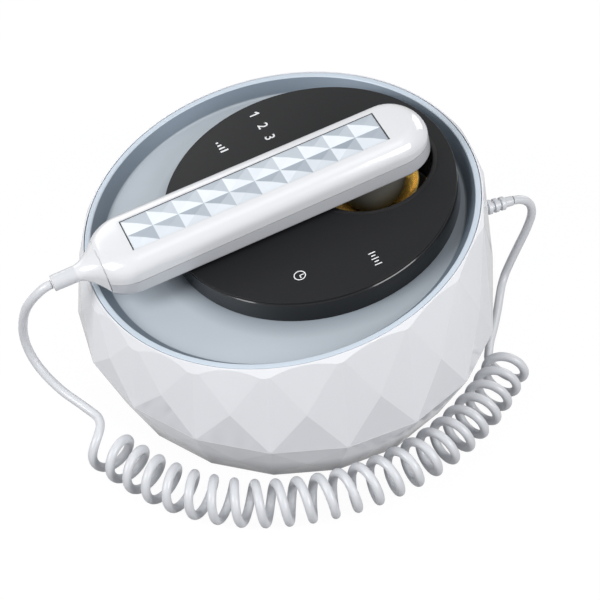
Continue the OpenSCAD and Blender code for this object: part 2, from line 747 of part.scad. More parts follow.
// Row of clear four-sided pyramids on one plate
module jewel_strip() {
    gap = 0.15;
    w = strip_w - 2 * gap;
    l = strip_end - strip_start - 2 * gap;
    cw = w / cells_wide;
    cl = l / cells_long;
    plate = strip_depth - cell_rise;
    color([0.8, 0.86, 0.93]) on_rim() on_top()
        translate([-w / 2, strip_start + gap, grip_top - strip_depth]) {
        cube([w, l, plate]);
        for (i = [0:cells_wide - 1], j = [0:cells_long - 1]) translate([i * cw, j * cl, plate])
            polyhedron([[0, 0, 0], [cw, 0, 0], [cw, cl, 0], [0, cl, 0], [cw / 2, cl / 2, cell_rise],
                        [0, 0, -plate / 2], [cw, 0, -plate / 2], [cw, cl, -plate / 2], [0, cl, -plate / 2]],
                [[0, 4, 1], [1, 4, 2], [2, 4, 3], [3, 4, 0], [5, 6, 7, 8],
                 [0, 1, 6, 5], [1, 2, 7, 6], [2, 3, 8, 7], [3, 0, 5, 8]]);
    }
}

// Height that a rounded edge of radius r takes off at an inset from the side
function edge_drop(r, inset) = inset >= r ? 0 : r - sqrt(r * r - pow(r - inset, 2));

// Bell from the shells' section at the seam down to a round neck
module tail_cap() {
    steps = 10;
    quarter = 6;
    crown = 0.06;
    neck = boot_sleeve_r + 0.1;
    reach = tail_seam + tail_centre;
    half = sqrt(tail_half_w * tail_half_w - reach * reach);
    function inset(x) = tail_half_w - sqrt(x * x + reach * reach);
    across = [for (i = [0:quarter]) half * sin(i * 90 / quarter)];
    right = concat(
        [for (x = across) [x, low_z(-tail_seam) + edge_drop(keel_r, inset(x)) + crown * pow(x / half, 2)]],
        [for (i = [quarter:-1:0]) [across[i], top_z(-tail_seam) - edge_drop(shoulder_r, inset(across[i]))]]
    );
    seam = concat(right, [for (i = [len(right) - 2:-1:1]) [-right[i][0], right[i][1]]]);
    n = len(seam);
    round = [for (i = [0:n - 1]) let (a = i * 360 / n - 90) [neck * cos(a), tail_axis_z + neck * sin(a)]];
    color([0.9, 0.91, 0.92]) on_rim() difference() {
        loft([for (j = [0:steps])
            let (t = j / steps, s = pow(1 - t, 1.6), y = lerp(-tail_seam, cap_end, t))
            [for (i = [0:n - 1]) let (x = lerp(round[i][0], seam[i][0], s))
                [x, y, lerp(round[i][1], seam[i][1], s)]]]);
        translate([0, -tail_seam - 30, tail_axis_z]) rotate([-90, 0, 0])
            cylinder(r = boot_r + screw_gap, h = 40, $fn = 48);
        translate([0, -tail_seam - 3, tail_axis_z]) rotate([-90, 0, 0]) cylinder(r = 4.6, h = 9, $fn = 48);
    }
}

module handpiece_boot() {
    color([0.88, 0.89, 0.9]) on_rim() translate([0, 0, tail_axis_z]) rotate([-90, 0, 0])
        rotate_extrude($fn = 48) polygon([
            [0, boot_tip], [boot_sleeve_r - 0.3, boot_tip], [boot_sleeve_r, boot_tip + 0.3],
            [boot_sleeve_r, cap_end], [boot_r, cap_end], [boot_r, -tail_seam - 3],
            [4.5, -tail_seam - 3], [4.5, -tail_seam], [0, -tail_seam]
        ]);
}

module electrode_dome() {
    steps = 12;
    inner_r = dome_r - dome_wall;
    step_z = collar_low - dome_z;
    top_z = dome_top - dome_z;
    boss_r = 3.6;
    color([0.4, 0.42, 0.4]) on_rim() translate([0, dome_back, dome_z]) difference() {
        rotate_extrude($fn = 96) polygon(concat(
            [for (i = [0:steps]) let (a = -90 + i * 90 / steps) [dome_r * cos(a), dome_r * sin(a)]],
            [[dome_r, step_z], [dome_neck_r, step_z], [dome_neck_r, top_z], [dome_neck_r - dome_wall, top_z]],
            [for (i = [0:steps - 2]) let (a = -i * 90 / steps)
                [(dome_neck_r - dome_wall) * cos(a), inner_r * sin(a)]],
            [[boss_r, 0.5 - inner_r], [boss_r, top_z], [0, top_z]]
        ));
        translate([0, 0, top_z - 12]) cylinder(r = pilot_r, h = 30, $fn = 24);
    }
}

// Insulating ring between the dome and the head
module electrode_collar() {
    color([0.75, 0.77, 0.78]) on_rim() translate([0, dome_back, 0]) rotate_extrude($fn = 96) polygon([
        [dome_neck_r + screw_gap, collar_low], [dome_r - 0.3, collar_low], [dome_r, collar_low + 0.3],
        [dome_r, dome_top], [dome_neck_r + screw_gap, dome_top]
    ]);
}

module electrode_screw() {
    color([0.7, 0.71, 0.72]) on_rim() translate([0, dome_back, dome_top + 2]) rotate([180, 0, 0]) screw(8);
}

module handpiece_board() {
    color([0.1, 0.4, 0.25]) on_rim() difference() {
        translate([-11, -56, grip_board_z]) cube([22, 70, 1.4]);
        grip_board_places() cylinder(r = peg_r + screw_gap, h = 40, $fn = 24);
    }
}

module handpiece_screws() {
    color([0.7, 0.71, 0.72]) on_rim() grip_screw_places() translate([0, 0, grip_bottom + 2.2]) screw(11);
}

faceted_shell();
recess_tray();
base_plate();
rubber_feet();
base_screws();
ballast_plate();
main_board();
board_screws();
transformer();
capacitors();
heat_sink();
dc_inlet();
platter_housing();
platter_screws();
control_panel();
touch_board();
indicator_leds();
cup_well();
contact_cup();
cup_screw();
base_boot();
base_lead();
curly_cord();
handpiece_lead();
upper_shell();
lower_shell();
jewel_strip();
tail_cap();
handpiece_boot();
electrode_dome();
electrode_collar();
electrode_screw();
handpiece_board();
handpiece_screws();
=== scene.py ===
"""Looks of a facial toning device: a faceted base with a round control platter, a handpiece lying
across it with its dome electrode in a gold cup, and a curly cord between the two.

Sizes are millimetres, times MM where a mesh is made. The base's frame has its origin on the
resting surface; the rim's frame slopes with the top of the base, and RIM carries it over."""

import math

import bmesh
import bpy
import numpy as np
from mathutils import Euler, Matrix, Vector


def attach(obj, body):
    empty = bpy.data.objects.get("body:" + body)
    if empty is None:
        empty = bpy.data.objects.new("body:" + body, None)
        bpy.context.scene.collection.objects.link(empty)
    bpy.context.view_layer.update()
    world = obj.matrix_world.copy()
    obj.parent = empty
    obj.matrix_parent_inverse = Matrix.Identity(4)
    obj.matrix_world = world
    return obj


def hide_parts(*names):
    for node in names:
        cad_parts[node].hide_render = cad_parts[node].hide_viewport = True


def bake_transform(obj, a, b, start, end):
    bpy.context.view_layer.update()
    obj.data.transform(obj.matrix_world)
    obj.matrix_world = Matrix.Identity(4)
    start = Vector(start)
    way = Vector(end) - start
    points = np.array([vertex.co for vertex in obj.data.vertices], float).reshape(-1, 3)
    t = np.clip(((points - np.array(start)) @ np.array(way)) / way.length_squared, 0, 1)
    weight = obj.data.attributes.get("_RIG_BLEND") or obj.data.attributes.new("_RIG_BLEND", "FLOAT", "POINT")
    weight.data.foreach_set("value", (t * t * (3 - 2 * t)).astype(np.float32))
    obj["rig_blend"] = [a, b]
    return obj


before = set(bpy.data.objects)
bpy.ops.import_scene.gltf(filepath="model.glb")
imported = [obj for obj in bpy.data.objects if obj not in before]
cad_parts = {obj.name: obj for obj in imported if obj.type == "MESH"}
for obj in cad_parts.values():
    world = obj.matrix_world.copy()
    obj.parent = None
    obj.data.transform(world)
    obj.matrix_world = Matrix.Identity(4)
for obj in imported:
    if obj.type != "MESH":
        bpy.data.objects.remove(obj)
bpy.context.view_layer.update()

MM = 0.001

# ---- sizes

TOP_SLOPE = math.radians(10.8)
RIM_HEIGHT = 96.3
RIM_FORWARD = 3.4
RIM = (Matrix.Translation((0, -RIM_FORWARD * MM, RIM_HEIGHT * MM))
       @ Matrix.Rotation(TOP_SLOPE, 4, "X"))

# Tray, whose lip lies level with the rim
LIP_OUTER_R = 99.8
LIP_INNER_R = 97.3
LEDGE_DROP = 2.5
TRAY_DEPTH = 7
TRAY_FLOOR_R = 91.5
TRAY_T = 2.2
CABLE_HOLE_R = 11
CABLE_HOLE_Y = -18

# Platter: a housing with a panel on top, behind the rim's centre
PLATTER_R = 73.7
PLATTER_BACK = 16.6
PLATTER_TOP = 5.84
PANEL_LOW = PLATTER_TOP - 1.5
HOUSING_TOP_T = 2.2
HOUSING_WALL = 2.4
HOUSING_FLARE = 0.36

# Pocket in the platter, and the cup on its floor
POCKET_BACK = 49.5
POCKET_R = 31.5
POCKET_DEPTH = 25
WELL_FLOOR_T = 2.4
WELL_OUTER_R = POCKET_R + 2
WELL_FLANGE_R = WELL_OUTER_R + 0.8
WELL_GAP = 0.3
CUP_R = 23
BOWL_R = 26
CUP_LOW = -20.8
CUP_T = 1.2
SEAT_R = 9
CLEAR_R = 1.7  # clearance holes for fixing screws

# Handpiece, whose head is towards +Y and whose tail is towards -Y
GRIP_HALF_W = 19.4
GRIP_BOTTOM = 6.2
GRIP_TOP = 27.2
GRIP_WALL = 1.8
TAIL_SEAM = 92.5
TAIL_HALF_W = GRIP_HALF_W + 1
TAIL_CENTRE = -78
TAIL_FALL = 1.2
TAIL_RISE = 0.5
HEAD_CENTRE = 62.5
HEAD_FALL = 2.2
TOP_PITCH = math.radians(0.42)
SHOULDER_R = 8.5
KEEL_R = 2.2
PART_Y, PART_Z, PART_RISE = -84, 14.2, 1.2 / 144  # a point on the parting line, its slope
TAIL_AXIS_Z = 16
CAP_END = -TAIL_SEAM - 12.7
BOOT_TIP = -117.5
BOOT_SLEEVE_R = 4.1
BOOT_R = 3.25
CORD_HOLE_R = 2.5
POST_X, POST_YS = 8, (-50, 8)
POST_R, POST_TOP = 2.4, 12.4
PEG_R, PEG_TOP = 1.1, 14.4
SCREW_HOLE_R, SCREW_YS = 3.1, (-70, 24)
SEAM = 0.2  # half the width of the parting line
SEAM_DEPTH = 1.2

# Strip of clear cells let into the handpiece's top
STRIP_W = 21.84
STRIP_START = -76.5
STRIP_END = 59.7
STRIP_DEPTH = 2.4
CELL_RISE = 0.5
CELLS_LONG, CELLS_WIDE = 10, 2
GASKET_W = 0.24
GASKET_END = 0.6
GASKET_DROP = 0.25

# Dome electrode and its ring
DOME_R = 17.6
DOME_NECK_R = 16
DOME_BACK = 49
DOME_Z = -2.4
DOME_TOP = 8
DOME_T = 1.6
COLLAR_LOW = 4.6

# Strain relief at the rear of the base
BOOT_Z = 58.5
BOOT_SEAT_Y = 103.6
BOOT_END_Y = 128.2
BOOT_BLOCK_R = 5.2
BOOT_NECK_R = 3.55
BOOT_COLLAR_R = 4.8
RIBS, RIB_PITCH, RIB_R = 4, 3.8, 4.1
GROOVE_R = 2.5

# Cord
CORD_D = 4.6
COIL_R = 9.7
COIL_PHASE = 60  # degrees from the top of a turn
COIL_TURNS = 23 + (180 - COIL_PHASE) / 360

# The routes of the cord, in metres, as the part's source lays them
HANDPIECE_ROUTE = [
    (0, -0.1223, 0.0899), (-0.0001, -0.1244, 0.0892), (-0.0004, -0.1265, 0.0879),
    (-0.001, -0.1286, 0.0858), (-0.0019, -0.1307, 0.083), (-0.0031, -0.1327, 0.0795),
    (-0.0046, -0.1346, 0.075), (-0.0064, -0.1361, 0.069), (-0.008, -0.137, 0.062),
    (-0.0092, -0.1374, 0.0545), (-0.009, -0.137, 0.047), (-0.007, -0.1357, 0.0398),
    (-0.003, -0.1332, 0.0334), (0.003, -0.1296, 0.0284), (0.0104, -0.1252, 0.025),
    (0.0195, -0.1198, 0.0234), (0.0285, -0.1154, 0.0232),
]
CURL_ROUTE = [
    (0.043, -0.114, 0.012), (0.048, -0.112, 0.012), (0.079, -0.093, 0.012),
    (0.1, -0.068, 0.012), (0.11, -0.042, 0.012), (0.114, -0.01, 0.012), (0.11, 0.022, 0.012),
    (0.103, 0.044, 0.012), (0.087, 0.073, 0.012), (0.067, 0.0965, 0.012),
]
BASE_ROUTE = [
    (0, 0.1286, 0.0585), (0, 0.1328, 0.0577), (0.0001, 0.1364, 0.0557), (0.0002, 0.1391, 0.0525),
    (0.0004, 0.1405, 0.0486), (0.0005, 0.1406, 0.044), (0.0005, 0.1396, 0.0388),
    (0.0006, 0.1376, 0.0325), (0.0008, 0.1336, 0.0224), (0.0016, 0.1294, 0.0128),
    (0.003, 0.1264, 0.007), (0.0064, 0.1232, 0.0036), (0.012, 0.1194, 0.0024),
    (0.021, 0.1136, 0.0024), (0.032, 0.106, 0.0024), (0.042, 0.0986, 0.0024),
    (0.05, 0.0938, 0.0024),
]

# ---- camera

camera_data = bpy.data.cameras.new("camera")
camera_data.lens = 118.344
camera_data.sensor_width = 36
camera = bpy.data.objects.new("camera", camera_data)
camera.location = (0.676179, -0.271256, 0.752059)
camera.rotation_euler = Euler([math.radians(a) for a in (45.378, 0.013, 67.6045)], "XYZ")
camera_data.clip_start = 0.05
camera_data.clip_end = 20
bpy.context.scene.collection.objects.link(camera)
bpy.context.scene.camera = camera

# ---- meshes

def link(name, data):
    obj = bpy.data.objects.new(name, data)
    bpy.context.scene.collection.objects.link(obj)
    return obj


def outward(mesh):
    """Merges doubles and turns every face outwards."""
    bm = bmesh.new()
    bm.from_mesh(mesh)
    bmesh.ops.remove_doubles(bm, verts=bm.verts, dist=1e-6)
    bmesh.ops.recalc_face_normals(bm, faces=bm.faces)
    bm.to_mesh(mesh)
    bm.free()


def make(name, verts, faces, matrix=Matrix.Identity(4), scale=MM):
    """A new object from points in millimetres, or in metres where scale is 1, carried over by
    matrix."""
    mesh = bpy.data.meshes.new(name)
    mesh.from_pydata([matrix @ (Vector(v) * scale) for v in verts], [], faces)
    outward(mesh)
    return link(name, mesh)


def strips(count, n):
    """Quads between count rings of n points each, which stand one above the other."""
    return [(j * n + i, j * n + (i + 1) % n, (j + 1) * n + (i + 1) % n, (j + 1) * n + i)
            for j in range(count - 1) for i in range(n)]


def lathe(name, profile, matrix, segments):
    """A closed solid turned about the local Z axis. The profile is (radius, height) points, and
    a point at radius 0 becomes a pole."""
    verts, rings = [], []
    for r, z in profile:
        if r < 1e-6:
            rings.append([len(verts)])
            verts.append((0, 0, z))
            continue
        rings.append(list(range(len(verts), len(verts) + segments)))
        for i in range(segments):
            a = 2 * math.pi * i / segments
            verts.append((r * math.cos(a), r * math.sin(a), z))
    faces = []
    for a, b in zip(rings, rings[1:] + rings[:1]):
        if len(a) == 1 and len(b) == 1:
            continue
        for i in range(segments):
            j = (i + 1) % segments
            if len(a) == 1:
                faces.append((a[0], b[i], b[j]))
            elif len(b) == 1:
                faces.append((a[i], b[0], a[j]))
            else:
                faces.append((a[i], b[i], b[j], a[j]))
    return make(name, verts, faces, matrix)


def fillet(profile, steps=5):
    """Profile points are (r, z) or (r, z, radius); a corner with a radius is rounded off."""
    out, n = [], len(profile)
    for i, p in enumerate(profile):
        if len(p) == 2:
            out.append(p)
            continue
        here = np.array(p[:2], float)
        before = np.array(profile[i - 1][:2], float) - here
        after = np.array(profile[(i + 1) % n][:2], float) - here
        lb, la = np.linalg.norm(before), np.linalg.norm(after)
        before, after = before / lb, after / la
        half = max(0.01, math.acos(np.clip(before @ after, -1, 1)) / 2)
        cut = min(p[2] / math.tan(half), 0.48 * lb, 0.48 * la)
        a, b = here + before * cut, here + after * cut
        for k in range(steps + 1):
            t = k / steps
            out.append(tuple((1 - t) ** 2 * a + 2 * t * (1 - t) * here + t * t * b))
    return out


def shift(x=0, y=0, z=0):
    return Matrix.Translation((x * MM, y * MM, z * MM))


ALONG_Y = Matrix.Rotation(-math.pi / 2, 4, "X")  # lays the Z axis down along +Y
TAIL_AXIS = RIM @ shift(z=TAIL_AXIS_Z) @ ALONG_Y
PLATTER_AXIS = RIM @ shift(y=PLATTER_BACK)
POCKET_AXIS = RIM @ shift(y=POCKET_BACK)
DOME_AXIS = RIM @ shift(y=DOME_BACK)


def block(name, low, high, matrix):
    x0, y0, z0 = low
    x1, y1, z1 = high
    verts = [(x, y, z) for x in (x0, x1) for y in (y0, y1) for z in (z0, z1)]
    faces = [(0, 1, 3, 2), (4, 6, 7, 5), (0, 4, 5, 1), (2, 3, 7, 6), (0, 2, 6, 4), (1, 5, 7, 3)]
    return make(name, verts, faces, matrix)


def rod(name, r, z0, z1, matrix, segments=96):
    return lathe(name, [(0, z0), (r, z0), (r, z1), (0, z1)], matrix, segments)


def hole(r, matrix, segments=96, low=-40, high=40):
    """A round cutter, longer than what it goes through."""
    return rod("cutter", r, low, high, matrix, segments)


def plain(obj):
    """Applies the modifiers by taking the evaluated mesh."""
    dg = bpy.context.evaluated_depsgraph_get()
    dg.update()
    mesh = bpy.data.meshes.new_from_object(obj.evaluated_get(dg))
    obj.modifiers.clear()
    old = obj.data
    obj.data = mesh
    bpy.data.meshes.remove(old)
    mesh.name = obj.name
    return obj


def carve(obj, *cutters, operation="DIFFERENCE"):
    """Cuts the cutters away from obj, or joins them to it, and removes them."""
    for cutter in cutters:
        mod = obj.modifiers.new("carve", "BOOLEAN")
        mod.operation = operation
        mod.solver = "MANIFOLD"
        mod.object = cutter
        plain(obj)
        bpy.data.objects.remove(cutter)
    return obj


def smooth(obj, angle):
    """Smooth shading with sharp edges above an angle."""
    obj.data.polygons.foreach_set("use_smooth", [True] * len(obj.data.polygons))
    obj.data.set_sharp_from_angle(angle=math.radians(angle))
    return obj


def chamfer(obj, width):
    """Rounds every edge that turns more than 30 degrees."""
    mod = obj.modifiers.new("edges", "BEVEL")
    mod.width = width * MM
    mod.segments = 2
    mod.limit_method = "ANGLE"
    mod.angle_limit = math.radians(30)
    mod.use_clamp_overlap = False
    mod.harden_normals = True
    smooth(obj, 80)
    return plain(obj)


def finish_piece(obj, body, slot, material, *nodes):
    """Gives a piece its material and its body, and hides the CAD nodes that it replaces. The slot is
    not used.
    """
    obj.data.materials.clear()
    obj.data.materials.append(material)
    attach(obj, body)
    if nodes:
        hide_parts(*nodes)
    return obj


# ---- cord

def through(points, per):
    """A smooth curve through the points, even where they're unevenly spaced."""
    p = [np.array(q, float) for q in points]
    p = [2 * p[0] - p[1]] + p + [2 * p[-1] - p[-2]]
    out = []
    for a, b, c, d in zip(p, p[1:], p[2:], p[3:]):
        t = np.cumsum([0] + [max(np.linalg.norm(v - u), 1e-9) ** 0.5
                             for u, v in ((a, b), (b, c), (c, d))])
        for s in np.linspace(t[1], t[2], per, endpoint=False):
            a1 = ((t[1] - s) * a + (s - t[0]) * b) / (t[1] - t[0])
            a2 = ((t[2] - s) * b + (s - t[1]) * c) / (t[2] - t[1])
            a3 = ((t[3] - s) * c + (s - t[2]) * d) / (t[3] - t[2])
            b1 = ((t[2] - s) * a1 + (s - t[0]) * a2) / (t[2] - t[0])
            b2 = ((t[3] - s) * a2 + (s - t[1]) * a3) / (t[3] - t[1])
            out.append(((t[2] - s) * b1 + (s - t[1]) * b2) / (t[2] - t[1]))
    out.append(p[-2])
    return np.array(out)


def evenly(points, step):
    """The same line with its points a step apart."""
    run = np.r_[0, np.cumsum(np.linalg.norm(np.diff(points, axis=0), axis=1))]
    at = np.linspace(0, run[-1], max(2, round(run[-1] / step)) + 1)
    return np.stack([np.interp(at, run, points[:, k]) for k in range(3)], 1)


def softened(points, reach):
    """Averages each point with its neighbours, and keeps the two ends."""
    out = points.copy()
    n = len(points)
    for i in range(n):
        k = min(reach, i, n - 1 - i)
        out[i] = points[i - k:i + k + 1].mean(0)
    return out


def bridge(a, b, reach, steps=40):
    """Carries line a over to line b with one smooth bend."""
    heading = lambda p, q: (q - p) / np.linalg.norm(q - p)
    p0, p3 = a[-1], b[0]
    p1, p2 = p0 + reach * heading(a[-2], a[-1]), p3 - reach * heading(b[0], b[1])
    t = np.linspace(0, 1, steps)[1:-1, None]
    bend = (1 - t) ** 3 * p0 + 3 * (1 - t) ** 2 * t * p1 + 3 * (1 - t) * t ** 2 * p2 + t ** 3 * p3
    return np.concatenate([a, bend, b])


def coil(route, radius, turns, phase, per_turn=120):
    """Helix about a level route, whose angle grows from the top towards the outer side."""
    line = softened(evenly(through(route, 40), 0.0005), 24)
    along = np.gradient(line, axis=0)
    along /= np.linalg.norm(along, axis=1)[:, None]
    up = np.array([0, 0, 1.0])
    outer = np.cross(along, up)
    share = np.linspace(0, 1, round(turns * per_turn) + 1)
    at = share * (len(line) - 1)
    pick = lambda m: np.stack([np.interp(at, np.arange(len(line)), m[:, k]) for k in range(3)], 1)
    angle = (math.radians(phase) + 2 * math.pi * turns * share)[:, None]
    return pick(line) + radius * (np.cos(angle) * up + np.sin(angle) * pick(outer))


def tube(name, line, radius, sides=16):
    """A closed round tube along a line of points in metres."""
    n = len(line)
    along = np.gradient(line, axis=0)
    along /= np.linalg.norm(along, axis=1)[:, None]
    side = np.cross(along[0], (0, 0, 1.0))
    side /= np.linalg.norm(side)
    verts = []
    for p, t in zip(line, along):
        side = side - (side @ t) * t
        side /= np.linalg.norm(side)
        other = np.cross(t, side)
        verts += [p + radius * (math.cos(a) * side + math.sin(a) * other)
                  for a in np.linspace(0, 2 * math.pi, sides, endpoint=False)]
    verts += [line[0], line[-1]]
    faces = strips(n, sides) + [(n * sides, (i + 1) % sides, i) for i in range(sides)]
    last = (n - 1) * sides
    faces += [(n * sides + 1, last + i, last + (i + 1) % sides) for i in range(sides)]
    return make(name, verts, faces, scale=1)


turns = coil(CURL_ROUTE, COIL_R * MM, COIL_TURNS, COIL_PHASE)
cord_line = bridge(through(HANDPIECE_ROUTE, 20), turns, 9 * MM)
cord_line = bridge(cord_line, through(BASE_ROUTE[::-1], 20), 6 * MM)
cord_line = evenly(cord_line, 1.8 * MM)
cord = tube("curly_cord_jacket", cord_line, CORD_D / 2 * MM)


# ---- materials

class Nodes:
    """A node tree that is built one node at a time."""

    def __init__(self, tree):
        self.tree = tree
        tree.nodes.clear()

    def add(self, kind, **values):
        """Adds a node. A value goes to the node's own property of that name, or otherwise to its
        input: i0, i1 ... count the inputs, and in a name an underscore stands for a space. An
        output of another node is linked to the input."""
        node = self.tree.nodes.new(kind if "Node" in kind else "ShaderNode" + kind)
        for key, value in values.items():
            if hasattr(node, key):
                setattr(node, key, value)
                continue
            counted = key[0] == "i" and key[1:].isdigit()
            socket = node.inputs[int(key[1:]) if counted else key.replace("_", " ")]
            if isinstance(value, bpy.types.NodeSocket):
                self.tree.links.new(value, socket)
            else:
                socket.default_value = value
        return node

    def out(self, kind, **values):
        """Adds a node and returns its first output."""
        return self.add(kind, **values).outputs[0]

    def use(self, group, **values):
        """Places a node group and returns its outputs."""
        return self.add("Group", node_tree=group, **values).outputs

    def math(self, operation, *values):
        return self.out("Math", operation=operation, **{f"i{k}": v for k, v in enumerate(values)})

    def mixed(self, share, first, second):
        """The first colour at a share of 0, and the second at 1."""
        return self.add("Mix", data_type="RGBA", i0=share, i6=first, i7=second).outputs[2]

    def ramp(self, value, start, end, most=1.0):
        """A share that goes from 0 at start to most at end, both in millimetres."""
        return self.out("MapRange", Value=value, i1=start * MM, i2=end * MM, i4=most)


def node_group(name, family, inputs, outputs):
    """A node group whose sockets are (name, kind) or (name, kind, value) rows. Returns it, its
    nodes and its given values."""
    tree = bpy.data.node_groups.new(name, family + "NodeTree")
    for in_out, rows in (("INPUT", inputs), ("OUTPUT", outputs)):
        for label, kind, *value in rows:
            socket = tree.interface.new_socket(name=label, in_out=in_out,
                                               socket_type="NodeSocket" + kind)
            if value:
                socket.default_value = value[0]
    n = Nodes(tree)
    return tree, n, n.add("NodeGroupInput").outputs


def rgb(r, g, b):
    """A colour given as it shows on a screen, 0 to 255."""
    lin = lambda v: v / 12.92 if v <= 0.04045 else ((v + 0.055) / 1.055) ** 2.4
    return (lin(r / 255), lin(g / 255), lin(b / 255), 1.0)


# Slow drift of a colour over a surface, as moulded and painted parts have
tone_drift, n, given = node_group(
    "tone_drift", "Shader",
    [("Place", "Vector"), ("Colour", "Color", (0.8, 0.8, 0.8, 1)), ("Scale", "Float", 30.0),
     ("Amount", "Float", 0.04)],
    [("Colour", "Color")])
cloud = n.out("TexNoise", Vector=given["Place"], Scale=given["Scale"], Detail=2.0)
swing = n.math("MULTIPLY", n.math("SUBTRACT", cloud, 0.5), n.math("MULTIPLY", given["Amount"], 2.0))
n.add("NodeGroupOutput", Colour=n.out("VectorMath", operation="SCALE", i0=given["Colour"],
                                      Scale=n.math("ADD", swing, 1.0)))

# Fine grain of a mould or a sprayed coat
fine_grain, n, given = node_group(
    "fine_grain", "Shader",
    [("Place", "Vector"), ("Scale", "Float", 2500.0), ("Depth", "Float", 0.5)],
    [("Height", "Float")])
pores = n.out("TexNoise", Vector=given["Place"], Scale=given["Scale"], Detail=3.0, Roughness=0.6)
n.add("NodeGroupOutput", Height=n.math("MULTIPLY", pores, given["Depth"]))

# Roughness that changes where a surface has been wiped and touched
wiped, n, given = node_group(
    "wiped", "Shader",
    [("Place", "Vector"), ("Roughness", "Float", 0.2), ("Spread", "Float", 0.06),
     ("Scale", "Float", 60.0)],
    [("Roughness", "Float")])
smear = n.out("TexNoise", Vector=given["Place"], Scale=given["Scale"], Detail=4.0, Distortion=0.6)
drift = n.math("MULTIPLY", n.math("SUBTRACT", smear, 0.5), given["Spread"])
n.add("NodeGroupOutput",
      Roughness=n.math("MAXIMUM", n.math("ADD", given["Roughness"], drift), 0.02))

# Rings left by turning, round the local Z axis of the vector
turned, n, given = node_group(
    "turned", "Shader",
    [("Place", "Vector"), ("Pitch", "Float", 6000.0), ("Depth", "Float", 0.5)],
    [("Height", "Float")])
parts = n.add("SeparateXYZ", Vector=given["Place"]).outputs
radius = n.math("SQRT", n.math("ADD", n.math("POWER", parts[0], 2.0),
                               n.math("POWER", parts[1], 2.0)))
rings = n.out("TexNoise", Vector=n.out("CombineXYZ", X=radius, Y=0.0, Z=parts[2]),
              Scale=given["Pitch"], Detail=1.0)
n.add("NodeGroupOutput", Height=n.math("MULTIPLY", rings, given["Depth"]))

# Copper tracks under a board's lacquer
tracks, n, given = node_group(
    "tracks", "Shader",
    [("Place", "Vector"), ("Scale", "Float", 260.0), ("Base", "Color", rgb(20, 80, 50)),
     ("Track", "Color", rgb(34, 112, 70))],
    [("Colour", "Color")])
n.add("NodeGroupOutput", Colour=n.out(
    "TexBrick", Vector=given["Place"], Scale=given["Scale"], Color1=given["Base"],
    Color2=given["Base"], Mortar=given["Track"], Mortar_Size=0.035))


def material(name, colour, roughness, drift=0.03, drift_scale=25.0, spread=0.05, grain=0.3,
             grain_scale=2500.0, bump=0.04, place=None, turning=0.0, colours=None, **sockets):
    """A finish: its colour drifts, its gloss is wiped, and its surface has a grain or turning
    marks. The other values go on the Principled BSDF's own sockets."""
    mat = bpy.data.materials.new(name)
    mat.use_nodes = True
    n = Nodes(mat.node_tree)
    where = n.add("TexCoord").outputs["Object"]
    if place:
        where = n.out("Mapping", Vector=where, Location=place[0], Rotation=place[1])
    tint = n.use(tone_drift, Place=where, Colour=rgb(*colour), Scale=drift_scale,
                 Amount=drift)["Colour"]
    if colours:
        tint = colours(n, where, tint)
    gloss = n.use(wiped, Place=where, Roughness=roughness, Spread=spread)["Roughness"]
    if turning:
        height = n.use(turned, Place=where, Pitch=turning, Depth=grain)["Height"]
    else:
        height = n.use(fine_grain, Place=where, Scale=grain_scale, Depth=grain)["Height"]
    relief = n.out("Bump", Height=height, Strength=bump, Distance=0.2 * MM)
    n.add("OutputMaterial", Surface=n.out("BsdfPrincipled", Base_Color=tint, Roughness=gloss,
                                          Normal=relief, **sockets))
    return mat


def rim_axis(back=0):
    """Place and turn for a Mapping node, which then measures from an axis of the rim's frame."""
    move = shift(y=-back) @ RIM.inverted()
    return tuple(move.to_translation()), tuple(move.to_euler("XYZ"))


def attribute(n, name):
    return n.add("Attribute", attribute_name=name).outputs["Fac"]


def shell_painted_light(n, where, tint):
    """A little darker on the lower facets, where the attribute "lower" is 1, as painted shade; lighter
    along the rounded edges, as the attribute "edge" says, as a painted highlight; and darker close to
    the floor, as painted contact shade."""
    height = n.add("SeparateXYZ", Vector=where).outputs[2]
    # Painted shade on the upright and outward-leaning facets
    tint = n.mixed(n.math("MULTIPLY", attribute(n, "lower"), 0.4), tint, rgb(204, 205, 210))
    # Painted highlight along the rounded edges
    tint = n.mixed(attribute(n, "edge"), tint, rgb(252, 252, 253))
    # Painted contact shade, darker towards the floor
    return n.mixed(n.ramp(height, 22, 4, 0.9), tint, rgb(128, 130, 136))


def facet_colours(n, where, tint):
    """Darker on the facets where the attribute "shade" is higher: painted shade by the way each facet
    faces, with a random tone.
    """
    return n.mixed(attribute(n, "shade"), tint, rgb(112, 127, 142))


def tray_colours(n, where, tint):
    """As given on the floor, but darker near the platter as a painted reflection of the black platter,
    darker up the wall as painted shade, and paler on the lip.
    """
    height = n.add("SeparateXYZ", Vector=where).outputs[2]
    platter_foot = (0, PLATTER_BACK * MM, -TRAY_DEPTH * MM)
    off = n.out("VectorMath", operation="SUBTRACT", i0=where, i1=platter_foot)
    reach = n.add("VectorMath", operation="LENGTH", i0=off).outputs["Value"]
    # Painted reflection of the black platter on the floor round its foot
    near = n.ramp(reach, PLATTER_R + 11, PLATTER_R + 0.5, 0.6)
    # Painted shade up the wall
    wall = n.ramp(height, -TRAY_DEPTH + 0.5, -TRAY_DEPTH + 1.1)
    lip = n.ramp(height, -0.55, -0.3)
    tint = n.mixed(near, tint, rgb(112, 122, 132))
    tint = n.mixed(wall, tint, rgb(112, 124, 136))
    return n.mixed(lip, tint, rgb(196, 207, 218))


def board_colours(n, where, tint):
    """A board's tracks, in place of its plain colour."""
    return n.use(tracks, Place=where)["Colour"]


